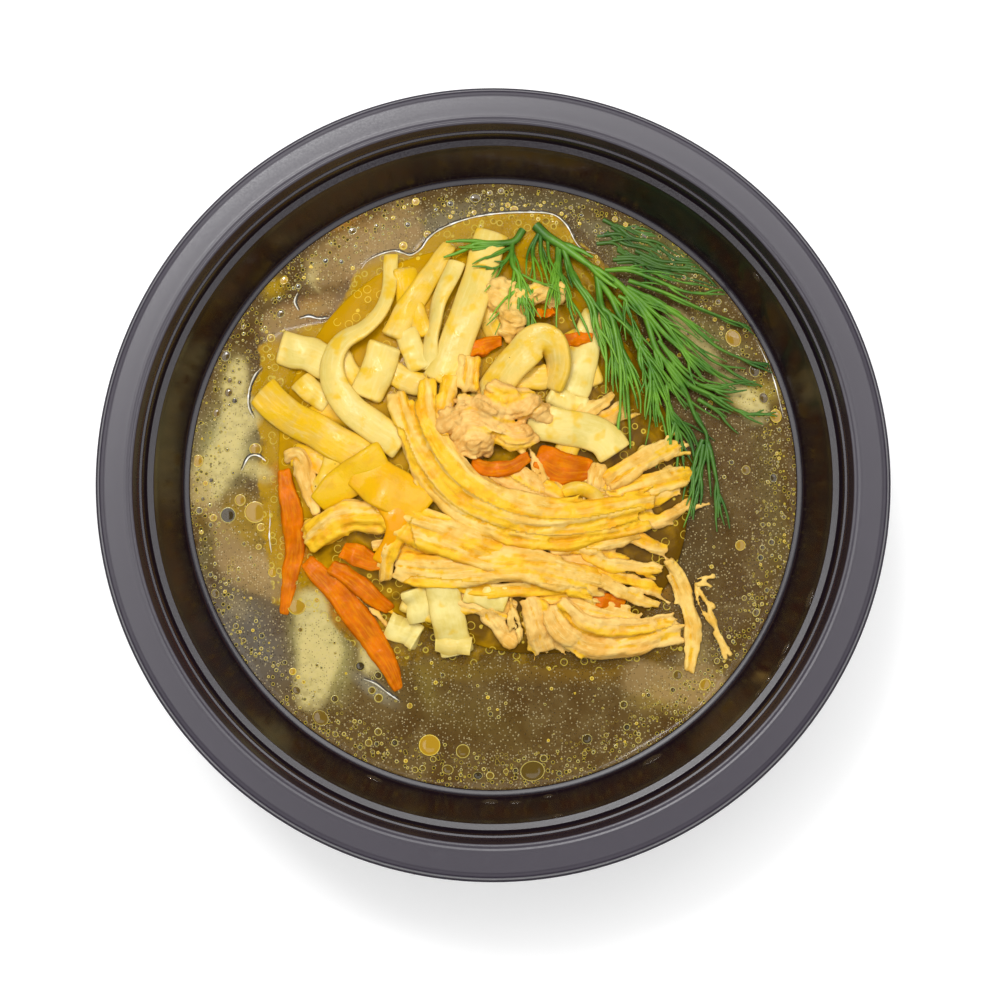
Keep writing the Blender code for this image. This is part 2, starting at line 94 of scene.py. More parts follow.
# Noodle ribbons: (width, yellowness, places, tilts in degrees, width shares) with one tilt and share a place.
NOODLES = [
    (6.2, 0.40, [(0.00, 0.84, 0.5), (-0.05, 0.66, 1.0), (-0.10, 0.53, 1.3), (-0.15, 0.39, 1.3), (-0.18, 0.33, 0.9)],
     [0, 5, 8, 10, 10], [1.0]),
    (2.8, 0.30, [(-0.12, 0.74, 0.5), (-0.16, 0.63, 0.9), (-0.19, 0.51, 0.9), (-0.21, 0.37, 0.5)], [30, 35, 30], [1.0]),
    (4.4, 0.60, [(-0.14, 0.80, 0.2), (-0.21, 0.69, 0.3), (-0.28, 0.59, 0.3), (-0.33, 0.48, 0.2)], [0], [0.6, 1.0, 1.0]),
    (5.6, 0.35, [(-0.34, 0.77, 0.3), (-0.36, 0.59, 1.2), (-0.42, 0.51, 1.6), (-0.50, 0.46, 1.8), (-0.53, 0.37, 1.8),
                 (-0.48, 0.26, 1.6), (-0.40, 0.19, 1.4), (-0.30, 0.12, 1.0)],
     [25, 25, 25, 20, 15, 10, 5, 0], [0.5, 0.5, 0.6, 0.75, 0.85, 0.95, 1.0, 1.0]),
    (6.2, 0.35, [(-0.35, 0.46, 1.6), (-0.38, 0.38, 1.2), (-0.42, 0.28, 0.8)], [0], [1.0]),
    (4.2, 0.30, [(-0.29, 0.51, 0.4), (-0.26, 0.44, 0.4), (-0.24, 0.37, 0.4)], [0], [1.0]),
    (6.4, 0.25, [(-0.71, 0.46, 0.6), (-0.64, 0.44, 0.6), (-0.54, 0.40, 0.6)], [0], [1.0]),
    (4.2, 0.40, [(-0.64, 0.35, 0.4), (-0.59, 0.30, 0.4), (-0.54, 0.26, 0.4)], [0], [1.0]),
    (6.3, 0.75, [(-0.77, 0.31, 0.2), (-0.69, 0.24, 0.7), (-0.60, 0.19, 1.0), (-0.51, 0.13, 1.0), (-0.42, 0.08, 0.8)],
     [0, 5, 10, 10, 5], [1.0]),
    (4.0, 0.50, [(-0.51, 0.10, 0.3), (-0.54, 0.03, 0.3), (-0.57, -0.04, 0.3)], [0], [1.0]),
    (6.4, 1.00, [(-0.57, -0.07, 0.7), (-0.49, 0.00, 1.1), (-0.41, 0.06, 1.3), (-0.35, 0.09, 1.0)], [16, 12, 8], [0.8, 1.1, 1.0]),
    (8.6, 1.22, [(-0.45, 0.05, 1.3), (-0.38, 0.01, 1.8), (-0.30, -0.04, 2.0), (-0.23, -0.10, 1.5)],
     [-4, -8, -8, -6], [0.8, 1.0, 1.0, 0.8]),
    (4.8, 1.40, [(-0.38, 0.02, 0.6), (-0.34, -0.04, 1.5), (-0.315, -0.11, 2.3), (-0.325, -0.18, 2.2), (-0.37, -0.26, 1.3)],
     [0, -6, -6, 0], [1.2, 1.2, 1.0, 0.8, 0.7]),
    (1.9, 0.70, [(0.23, -0.03, 1.5), (0.27, -0.01, 2.0), (0.33, -0.03, 2.1), (0.34, -0.08, 2.0), (0.30, -0.11, 1.6)],
     [0, 20, 30, 10], [0.7, 1.0, 1.0, 0.7]),
    (6.4, 0.45, [(-0.03, 0.25, 0.4), (0.02, 0.33, 1.2), (0.09, 0.42, 2.4), (0.17, 0.47, 3.7), (0.21, 0.42, 3.0),
                 (0.20, 0.31, 0.6)],
     [-15, -15, -15, 5, 45, 60], [1.0, 1.0, 1.0, 1.0, 0.9, 0.9]),
    (5.6, 0.15, [(0.35, 0.57, 0.6), (0.31, 0.46, 0.8), (0.26, 0.29, 0.8)], [0], [1.0]),
    (4.0, 0.20, [(0.18, 0.30, 0.5), (0.24, 0.27, 0.5), (0.31, 0.25, 0.5)], [0], [1.0]),
    (6.6, 0.20, [(0.11, 0.20, 1.0), (0.21, 0.19, 1.5), (0.29, 0.18, 1.5), (0.36, 0.15, 1.3), (0.395, 0.095, 0.7)],
     [10, 10, 5, 0, 0], [1.0]),
    (6.2, 0.05, [(-0.17, -0.31, 1.0), (-0.15, -0.41, 0.9), (-0.13, -0.52, 0.8), (-0.12, -0.56, 0.4)], [0], [1.0]),
    (2.4, 0.30, [(-0.19, -0.52, 1.3), (-0.13, -0.53, 1.4), (-0.07, -0.535, 1.3)], [0], [1.0]),
    (5.0, 0.00, [(-0.26, -0.34, 0.4), (-0.24, -0.40, 0.4), (-0.23, -0.45, 0.4)], [0], [1.0]),
    (4.6, 0.00, [(-0.35, -0.46, 0.3), (-0.30, -0.48, 0.3), (-0.24, -0.51, 0.3)], [0], [1.0]),
    (5.0, 0.15, [(-0.09, -0.34, 0.3), (-0.02, -0.36, 0.3), (0.05, -0.38, 0.3)], [0], [1.0]),
]

# More ribbons just under those: (width, yellowness, places).
UNDER_NOODLES = [
    (3.8, 0.40, [(-0.52, 0.44, 0.3), (-0.47, 0.37, 0.4), (-0.42, 0.29, 0.3)]),
    (4.4, 0.50, [(-0.35, 0.37, 0.1), (-0.28, 0.34, 0.2), (-0.21, 0.32, 0.1)]),
    (4.8, 0.80, [(-0.30, 0.72, -0.2), (-0.27, 0.60, -0.1), (-0.24, 0.48, -0.2)]),
    (4.2, 0.70, [(-0.08, 0.68, -0.2), (-0.02, 0.58, -0.1), (0.02, 0.48, -0.2)]),
    (5.0, 0.90, [(-0.62, 0.20, -0.2), (-0.52, 0.23, -0.1), (-0.40, 0.22, -0.2)]),
    (4.6, 0.90, [(-0.66, 0.10, -0.3), (-0.58, 0.08, -0.2), (-0.48, 0.02, -0.2)]),
    (4.4, 0.60, [(0.24, 0.50, 0.0), (0.29, 0.42, 0.1), (0.33, 0.32, 0.0)]),
    (4.4, 0.80, [(0.26, 0.18, -0.3), (0.24, 0.10, -0.1), (0.22, 0.00, -0.2)]),
    (4.6, 0.60, [(0.02, 0.30, 0.2), (0.10, 0.34, 0.4), (0.18, 0.36, 0.2)]),
    (4.2, 0.50, [(-0.30, -0.38, -0.2), (-0.20, -0.42, 0.0), (-0.10, -0.43, -0.2)]),
]
# Torn chicken: node, (oil, pinkness), and its strands as (width, thickness, places).
CHICKENS = {
    "chicken_stub": ((0.5, 0.2), [
        (4.4, 3.0, [(-0.08, 0.42, 1.8), (-0.09, 0.30, 2.0)]),
    ]),
    "chicken_long_curl": ((0.75, 0.1), [
        (5.0, 3.0, [(-0.31, 0.30, 2.0), (-0.28, 0.20, 2.4), (-0.22, 0.08, 2.6), (-0.12, -0.04, 2.6),
                    (0.01, -0.11, 2.6), (0.16, -0.14, 2.6), (0.32, -0.13, 2.4), (0.47, -0.09, 2.0)]),
        (4.2, 3.0, [(-0.22, 0.34, 2.2), (-0.21, 0.23, 2.8), (-0.16, 0.11, 3.0), (-0.06, 0.00, 3.0),
                    (0.08, -0.07, 3.0), (0.23, -0.09, 3.0), (0.39, -0.07, 2.6), (0.53, -0.05, 2.0)]),
        (3.0, 2.4, [(-0.29, 0.16, 1.8), (-0.25, 0.04, 1.8), (-0.14, -0.08, 1.8), (0.03, -0.16, 1.8),
                    (0.19, -0.19, 1.8), (0.36, -0.17, 1.7), (0.52, -0.14, 1.5)]),
        (3.4, 2.4, [(-0.14, 0.36, 2.2), (-0.16, 0.26, 2.6), (-0.18, 0.16, 2.8)]),
    ]),
    "chicken_left_strip": ((0.7, 0.15), [
        (7.4, 3.0, [(-0.36, -0.08, 2.2), (-0.27, -0.13, 2.4), (-0.16, -0.17, 2.4), (-0.07, -0.20, 2.2), (0.03, -0.23, 1.8)]),
        (5.6, 3.4, [(-0.62, -0.19, 1.4), (-0.56, -0.15, 1.8), (-0.48, -0.11, 2.0), (-0.34, -0.11, 2.0)]),
        (2.6, 2.0, [(-0.27, -0.13, 2.4), (-0.335, -0.22, 2.4), (-0.355, -0.32, 1.5)]),
    ]),
    "chicken_straight": ((0.55, 0.2), [
        (7.2, 3.0, [(-0.32, -0.26, 1.2), (-0.19, -0.28, 1.6), (-0.04, -0.27, 2.0), (0.09, -0.27, 2.2),
                    (0.22, -0.30, 2.0), (0.35, -0.33, 1.3)]),
        (3.0, 2.0, [(-0.24, -0.31, 0.9), (-0.08, -0.34, 1.0), (0.12, -0.34, 1.0), (0.29, -0.34, 0.9)]),
    ]),
    "chicken_inner": ((0.3, 0.6), [
        (6.4, 2.2, [(-0.01, 0.02, 1.2), (0.07, -0.02, 1.4), (0.18, -0.06, 1.2)]),
        (3.6, 2.0, [(0.05, 0.06, 1.2), (0.13, 0.00, 1.3), (0.20, -0.03, 1.1)]),
    ]),
    "chicken_right_upper": ((0.6, 0.3), [
        (4.2, 2.4, [(0.37, 0.00, 1.7), (0.43, 0.04, 2.1), (0.52, 0.09, 1.7), (0.61, 0.14, 0.9)]),
    ]),
    "chicken_nub": ((0.3, 0.4), [(3.2, 2.2, [(0.35, 0.07, 1.5), (0.34, 0.02, 1.5), (0.33, -0.03, 1.3)])]),
    "chicken_right_lower": ((0.8, 0.1), [
        (4.2, 2.0, [(0.40, -0.04, 1.0), (0.49, -0.01, 1.2), (0.60, 0.02, 0.8), (0.66, 0.04, 0.5)]),
    ]),
    "chicken_sliver": ((0.2, 0.3), [(2.6, 1.8, [(0.27, 0.21, 1.6), (0.33, 0.25, 1.6), (0.40, 0.30, 1.2)])]),
    "chicken_middle": ((0.5, 0.3), [
        (3.6, 2.2, [(0.18, -0.21, 1.0), (0.33, -0.19, 1.3), (0.48, -0.16, 1.2)]),
        (2.6, 1.6, [(0.27, -0.21, 1.1), (0.39, -0.26, 1.1), (0.56, -0.28, 0.6)]),
    ]),
    "chicken_splinter": ((0.5, 0.3), [(2.6, 2.0, [(0.30, -0.30, 1.2), (0.41, -0.35, 1.1), (0.55, -0.40, 0.6)])]),
    "chicken_lower_curl": ((0.35, 0.55), [
        (5.6, 3.2, [(0.19, -0.40, 1.3), (0.24, -0.48, 1.4), (0.33, -0.53, 1.4), (0.44, -0.52, 1.4),
                    (0.54, -0.49, 1.2), (0.62, -0.48, 0.8)]),
        (3.0, 2.4, [(0.22, -0.38, 1.8), (0.31, -0.46, 1.9), (0.44, -0.47, 1.8), (0.57, -0.46, 1.2)]),
    ]),
    "chicken_lower_left": ((0.3, 0.6), [(5.4, 2.8, [(0.12, -0.37, 1.3), (0.15, -0.46, 1.3), (0.18, -0.55, 0.6)])]),
    "chicken_lower_middle": ((0.5, 0.3), [(3.8, 2.2, [(0.22, -0.38, 0.8), (0.33, -0.41, 1.1), (0.48, -0.44, 0.8)])]),
    "chicken_thread": ((0.2, 0.3), [(1.4, 1.2, [(0.06, -0.37, 1.1), (0.07, -0.44, 1.0), (0.09, -0.52, 0.5)])]),
    "chicken_afloat": ((0.35, 0.2), [
        (2.7, 2.0, [(0.57, -0.25, 0.5), (0.62, -0.34, 0.8), (0.66, -0.49, 0.8), (0.65, -0.62, 0.3)]),
    ]),
    "chicken_fork": ((0.1, 0.1), [
        (1.5, 1.2, [(0.66, -0.33, 0.7), (0.71, -0.42, 0.7), (0.78, -0.56, 0.4)]),
        (1.4, 1.0, [(0.66, -0.33, 0.7), (0.70, -0.31, 0.7), (0.74, -0.30, 0.5)]),
    ]),
    "chicken_left": ((0.3, 0.5), [
        (3.2, 2.2, [(-0.69, 0.08, 0.8), (-0.64, 0.09, 1.2), (-0.61, 0.01, 1.3), (-0.58, -0.10, 1.3)]),
    ]),
}

# Small shreds between the large ones: (width, thickness, places).
SMALL_SHREDS = [
    (4.4, 2.0, [(0.28, -0.01, 0.7), (0.38, -0.02, 1.0), (0.48, 0.02, 0.8)]),
    (3.6, 1.8, [(0.34, -0.05, 0.9), (0.47, -0.05, 1.0), (0.62, -0.02, 0.5)]),
    (2.6, 1.6, [(0.45, -0.11, 1.0), (0.55, -0.11, 0.8), (0.66, -0.06, 0.4)]),
    (2.2, 1.4, [(0.50, 0.06, 1.3), (0.58, 0.10, 1.0), (0.66, 0.12, 0.5)]),
    (3.0, 1.6, [(0.36, -0.14, 0.6), (0.48, -0.19, 0.8), (0.58, -0.21, 0.3)]),
    (4.4, 1.8, [(0.20, -0.24, 0.5), (0.32, -0.25, 0.7), (0.44, -0.27, 0.4)]),
    (2.6, 1.6, [(0.32, -0.29, 0.6), (0.44, -0.32, 0.6), (0.56, -0.35, 0.2)]),
    (4.6, 1.8, [(0.14, -0.35, 0.4), (0.28, -0.37, 0.5), (0.42, -0.40, 0.3)]),
    (3.0, 1.6, [(0.10, -0.45, 0.2), (0.17, -0.50, 0.3), (0.26, -0.55, 0.1)]),
    (4.8, 2.0, [(-0.22, -0.36, 0.2), (-0.08, -0.38, 0.4), (0.08, -0.41, 0.3)]),
    (3.4, 1.8, [(-0.02, -0.42, 0.2), (0.02, -0.48, 0.3), (0.08, -0.53, 0.1)]),
    (3.0, 1.6, [(-0.40, -0.21, 1.0), (-0.30, -0.20, 1.2), (-0.22, -0.22, 1.2)]),
    (3.6, 1.8, [(-0.63, 0.12, 0.4), (-0.56, 0.06, 0.6), (-0.52, -0.03, 0.6)]),
    (2.4, 1.6, [(-0.16, 0.30, 1.4), (-0.12, 0.22, 1.8), (-0.09, 0.15, 1.8)]),
    (4.0, 1.8, [(0.30, 0.20, 0.7), (0.38, 0.22, 0.8), (0.44, 0.26, 0.4)]),
    (2.4, 1.4, [(-0.52, -0.30, 0.2), (-0.42, -0.38, 0.3), (-0.34, -0.44, 0.2)]),
    (4.4, 2.0, [(0.13, 0.00, 0.9), (0.21, -0.03, 1.2), (0.29, -0.07, 1.0)]),
    (3.0, 1.8, [(0.23, 0.00, 0.8), (0.26, -0.05, 1.0), (0.31, -0.10, 0.9)]),
    (2.6, 1.4, [(0.31, 0.02, 0.8), (0.37, -0.02, 1.0), (0.43, -0.06, 0.9)]),
    (2.4, 1.6, [(0.10, 0.11, 1.0), (0.14, 0.05, 1.4), (0.15, -0.02, 1.2)]),
    (1.4, 1.0, [(-0.46, 0.18, 1.3), (-0.45, 0.11, 2.0), (-0.43, 0.04, 2.2), (-0.43, -0.02, 2.0)]),
]
# Lumps of torn chicken: node, (oil, pinkness), and (centre, half lengths, turn in degrees).
LUMPS = {
    "chicken_knob": ((0.05, 0.90), [
        ((-0.03, 0.22, 2.6), (6.2, 4.0, 2.7), 0.0),
        ((0.08, 0.26, 2.8), (6.6, 2.8, 2.2), -18.0),
        ((-0.06, 0.14, 2.3), (4.4, 3.4, 2.3), 0.0),
        ((-0.14, 0.20, 3.0), (3.4, 1.9, 1.5), 20.0),
        ((0.07, 0.15, 2.2), (4.2, 2.6, 1.9), 12.0),
    ]),
    "chicken_top": ((0.25, 0.5), [
        ((0.03, 0.61, 1.2), (3.8, 3.2, 1.9), 0.0),
        ((0.12, 0.62, 1.5), (4.8, 2.6, 1.7), 10.0),
        ((0.06, 0.53, 1.4), (2.6, 3.8, 1.7), 0.0),
        ((0.20, 0.63, 1.0), (2.6, 3.0, 1.3), 0.0),
    ]),
}
# Carrot cut into strips: (width, thickness, places).
CARROTS = {
    "carrot_under_knob": (3.2, 2.0, [(-0.07, 0.07, 1.8), (0.01, 0.04, 2.0), (0.12, 0.09, 1.8)]),
    "carrot_point": (2.8, 1.4, [(0.22, 0.46, 1.0), (0.27, 0.48, 1.5), (0.33, 0.48, 2.1)]),
    "carrot_left": (4.2, 1.8, [(-0.69, 0.05, 0.6), (-0.67, -0.06, 0.7), (-0.66, -0.17, 0.6), (-0.67, -0.29, 0.3),
                               (-0.69, -0.43, -0.3)]),
    "carrot_long": (5.2, 2.0, [(-0.62, -0.25, 0.5), (-0.53, -0.34, 0.7), (-0.44, -0.46, 0.7), (-0.36, -0.57, 0.4),
                               (-0.31, -0.68, -0.3)]),
    "carrot_middle": (4.4, 2.0, [(-0.50, -0.21, 0.9), (-0.44, -0.24, 1.1), (-0.36, -0.26, 1.0)]),
    "carrot_deep": (4.0, 1.8, [(-0.54, -0.27, 0.2), (-0.44, -0.33, 0.2), (-0.34, -0.42, 0.0)]),
    "carrot_top": (3.4, 2.0, [(-0.09, 0.42, 0.8), (-0.04, 0.45, 1.1), (0.03, 0.47, 0.8)]),
    "carrot_chip": (2.2, 1.6, [(0.14, 0.56, 1.8), (0.21, 0.57, 1.6)]),
    "carrot_right": (6.4, 2.0, [(0.14, 0.09, 0.9), (0.22, 0.055, 1.1), (0.33, 0.04, 0.8)]),
    "carrot_lower": (3.0, 1.6, [(0.31, -0.37, 0.5), (0.37, -0.38, 0.5), (0.43, -0.40, 0.4)]),
}

# The carrots that lie in the film of fat round the heap.
CARROTS_IN_FILM = ("carrot_left", "carrot_long", "carrot_deep", "carrot_middle")


# ---------------------------------------------------------------- places

def heap_reach(turn):
    """How far the heap's uneven outline lies from its centre in this direction."""
    return (
        0.70
        + 0.07 * math.cos(turn - 0.7)
        + 0.05 * math.cos(2 * turn + 1.4)
        + 0.035 * math.cos(3 * turn + 1.9)
    )


def heap_share(across, along):
    """0 at the heap's centre, 1 at its outline."""
    x, y = across - HEAP_CENTRE[0], along - HEAP_CENTRE[1]
    return math.hypot(x, y) / heap_reach(math.atan2(y, x))


def heap_height(across, along):
    """The heap's height above the broth at a place, in millimetres."""
    return HEAP_RISE * max(0.0, 1.0 - heap_share(across, along) ** 2) ** 0.7


def spot(across, along, lift):
    """A place in the soup, in metres."""
    height = LEVEL + heap_height(across, along) + lift
    return Vector((across * SURFACE_RADIUS, along * SURFACE_RADIUS, height)) * MM


def unit(rows):
    return rows / np.maximum(np.linalg.norm(rows, axis=-1, keepdims=True), 1e-12)


class Route:
    """A smooth line through places, with its heading, side and up direction at every point."""

    def __init__(self, places, count=90):
        knots = np.array([spot(*place) for place in places])
        ends = np.vstack([2 * knots[0] - knots[1], knots, 2 * knots[-1] - knots[-2]])
        raw = []
        for a, b, c, d in zip(ends, ends[1:], ends[2:], ends[3:]):
            for s in np.linspace(0.0, 1.0, 16, endpoint=False):
                raw.append(b + 0.5 * s * (c - a + s * (2 * a - 5 * b + 4 * c - d + s * (3 * (b - c) + d - a))))
        raw = np.array([*raw, knots[-1]])
        run = np.concatenate([[0.0], np.cumsum(np.linalg.norm(np.diff(raw, axis=0), axis=1))])
        self.length = run[-1]
        self.shares = np.linspace(0.0, 1.0, count)
        self.points = np.stack([np.interp(self.shares * self.length, run, raw[:, k]) for k in range(3)], 1)
        self.headings = unit(np.gradient(self.points, axis=0))
        self.sides = unit(np.cross(self.headings, (0.0, 0.0, 1.0)))
        self.ups = np.cross(self.sides, self.headings)

    def read(self, rows, share):
        return np.array([np.interp(share, self.shares, rows[:, k]) for k in range(3)])

    def at(self, share, side=0.0, up=0.0):
        """The point at this share of the line, moved to its side and up, in metres."""
        past = (share - min(max(share, 0.0), 1.0)) * self.length
        return (
            self.read(self.points, share)
            + side * self.read(self.sides, share)
            + up * self.read(self.ups, share)
            + past * self.read(self.headings, share)
        )


# ---------------------------------------------------------------- modelling helpers

def deselect():
    bpy.ops.object.select_all(action="DESELECT")


def work_on(obj):
    deselect()
    obj.select_set(True)
    bpy.context.view_layer.objects.active = obj
    return obj


def added(name):
    """The primitive that has just been added, named."""
    obj = bpy.context.view_layer.objects.active
    obj.name = obj.data.name = name
    return work_on(obj)


def apply_place(obj):
    work_on(obj)
    bpy.ops.object.transform_apply(location=True, rotation=True, scale=True)


def modifier(obj, kind, **settings):
    made = obj.modifiers.new(kind.lower(), kind)
    for key, value in settings.items():
        setattr(made, key, value)
    return made


def apply_modifiers(obj):
    work_on(obj)
    for made in list(obj.modifiers):
        bpy.ops.object.modifier_apply(modifier=made.name)
    return obj


def joined(name, objects):
    deselect()
    for obj in objects:
        obj.select_set(True)
    bpy.context.view_layer.objects.active = objects[0]
    if len(objects) > 1:
        bpy.ops.object.join()
    return added(name)


def in_edit(obj, *steps):
    """Runs these steps in edit mode with everything selected."""
    work_on(obj)
    bpy.ops.object.mode_set(mode="EDIT")
    bpy.ops.mesh.select_mode(type="VERT")
    bpy.ops.mesh.select_all(action="SELECT")
    for step in steps:
        step()
    bpy.ops.object.mode_set(mode="OBJECT")


def weld():
    bpy.ops.mesh.remove_doubles(threshold=0.000005)


def face_out():
    bpy.ops.mesh.normals_make_consistent(inside=False)


def smooth(obj, angle=math.pi):
    work_on(obj)
    bpy.ops.object.shade_smooth_by_angle(angle=angle)


def corners(obj):
    co = np.empty(len(obj.data.vertices) * 3)
    obj.data.vertices.foreach_get("co", co)
    return co.reshape(-1, 3)


def set_corners(obj, co):
    obj.data.vertices.foreach_set("co", np.asarray(co, float).ravel())
    obj.data.update()


def normals_of(obj):
    rows = np.empty(len(obj.data.vertices) * 3)
    obj.data.vertices.foreach_get("normal", rows)
    return rows.reshape(-1, 3)


def copy_of(model, name, place):
    """The model again with its own mesh, moved by this matrix."""
    obj = bpy.data.objects.new(name, model.data.copy())
    bpy.context.scene.collection.objects.link(obj)
    obj.data.transform(place)
    return obj


def give(obj, name, values):
    """A number, or three, for each of the mesh's vertices, which its material reads by name."""
    values = np.asarray(values, np.float32)
    kind, key = ("FLOAT", "value") if values.ndim == 1 else ("FLOAT_VECTOR", "vector")
    made = obj.data.attributes.new(name, kind, "POINT")
    made.data.foreach_set(key, values.ravel())


def dress(obj, material, slot, *nodes):
    """The finished piece gets its material, rides on the bowl's body and stands for these nodes."""
    obj.data.materials.clear()
    obj.data.materials.append(material)
    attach(obj, BODY)
    if nodes:
        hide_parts(*nodes)
    return obj


# ---------------------------------------------------------------- finishes

class Finish:
    """A material with its shader's settings, and short calls that add and join its nodes."""

    def __init__(self, name, **sockets):
        self.material = bpy.data.materials.new(name)
        self.material.use_nodes = True
        self.nodes = self.material.node_tree.nodes
        self.links = self.material.node_tree.links
        self.shader = self.nodes["Principled BSDF"]
        self.set(self.shader, sockets)

    def set(self, node, sockets):
        for key, value in sockets.items():
            socket = node.inputs[key if isinstance(key, int) else key.replace("_", " ")]
            if isinstance(value, bpy.types.NodeSocket):
                self.links.new(value, socket)
            elif isinstance(value, tuple) and socket.type == "RGBA":
                socket.default_value = (*value, 1.0)
            else:
                socket.default_value = value

    def node(self, kind, settings=None, **sockets):
        made = self.nodes.new("ShaderNode" + kind)
        for key, value in (settings or {}).items():
            setattr(made, key, value)
        self.set(made, sockets)
        return made

    def object_mm(self, scale=(1.0, 1.0, 1.0), move=(0.0, 0.0, 0.0)):
        """The piece's own coordinates in millimetres, stretched and moved."""
        place = self.node("TexCoord").outputs["Object"]
        stretched = tuple(1000.0 * s for s in scale)
        return self.node("Mapping", Vector=place, Scale=stretched, Location=move).outputs[0]

    def attribute(self, name, output="Fac"):
        return self.node("Attribute", {"attribute_name": name}).outputs[output]

    def stretched(self, vector, scale):
        return self.node("Mapping", Vector=vector, Scale=scale).outputs[0]

    def noise(self, vector, size, detail=2.0, rough=0.5, warp=0.0):
        """Smooth noise whose blotches are about this size."""
        made = self.node("TexNoise", Vector=vector, Scale=1.0 / size, Detail=detail, Roughness=rough, Distortion=warp)
        return made.outputs["Fac"]

    def cells(self, vector, size, feature="F1", output="Distance", randomness=1.0):
        made = self.node("TexVoronoi", {"feature": feature}, Vector=vector, Scale=1.0 / size, Randomness=randomness)
        return made.outputs[output]

    def drops(self, vector, size):
        """Scattered round drops: the distance from a drop's centre, in drop widths, and a random number a drop."""
        made = self.node("TexVoronoi", Vector=vector, Scale=1.0 / size)
        return made.outputs["Distance"], self.node("SeparateColor", Color=made.outputs["Color"]).outputs[0]

    def radius(self):
        """The distance from the bowl's axis in millimetres."""
        return self.node("VectorMath", {"operation": "LENGTH"}, Vector=self.object_mm((1.0, 1.0, 0.0))).outputs["Value"]

    def math(self, operation, a, b=0.0):
        made = self.node("Math", {"operation": operation})
        self.set(made, {0: a, 1: b})
        return made.outputs[0]

    def span(self, value, low, high, to_low=0.0, to_high=1.0):
        """The value's way from low to high, as a number from to_low to to_high."""
        made = self.node("MapRange", {"interpolation_type": "SMOOTHSTEP"})
        self.set(made, {0: value, 1: low, 2: high, 3: to_low, 4: to_high})
        return made.outputs[0]

    def mix(self, share, a, b, way="MIX"):
        made = self.node("Mix", {"data_type": "RGBA", "blend_type": way})
        self.set(made, {0: share, 6: a, 7: b})
        return made.outputs[2]

    def bump(self, height, distance, strength=1.0, under=None):
        """Relief of this height in millimetres."""
        made = self.node("Bump", Height=height, Distance=distance * MM, Strength=strength)
        if under:
            self.set(made, {"Normal": under})
        return made.outputs[0]


def plastic_finish():
    """Near-black plastic with a violet cast, satin on the rim, with a thin film of soup inside."""
    f = Finish("black_plastic", Specular_IOR_Level=0.58)
    place = f.object_mm()
    up = f.node("SeparateXYZ", Vector=place).outputs["Z"]
    radius = f.radius()
    cloud = f.noise(place, 9.0, 3.0)
    grain = f.noise(place, 0.35, 2.0)
    runs = f.noise(f.object_mm((1.0, 1.0, 0.16)), 2.2, 3.0, 0.6)
    inner = f.mix(cloud, (0.0050, 0.0018, 0.0050), (0.0085, 0.0034, 0.0090))
    outer = f.mix(cloud, (0.0135, 0.0080, 0.0190), (0.0190, 0.0120, 0.0260))
    plain = f.mix(f.span(radius, 63.0, 65.5), inner, outer)
    wetted = f.math("MULTIPLY", f.span(radius, 61.4, 60.6), f.span(up, 50.0, 54.5))
    film = f.math("MULTIPLY", wetted, f.span(runs, 0.34, 0.62, 0.25, 1.0))
    colour = f.mix(film, plain, (0.016, 0.0025, 0.0040))
    rough = f.span(grain, 0.3, 0.7, 0.20, 0.27)
    rough = f.math("SUBTRACT", rough, f.math("MULTIPLY", film, 0.08))
    rough = f.math("ADD", rough, f.span(radius, 63.0, 65.5, 0.0, 0.10))
    relief = f.bump(grain, 0.004, 0.2, f.bump(f.noise(place, 2.5, 2.0), 0.008, 0.5))
    f.set(f.shader, {"Base Color": colour, "Roughness": rough, "Normal": relief})
    return f.material


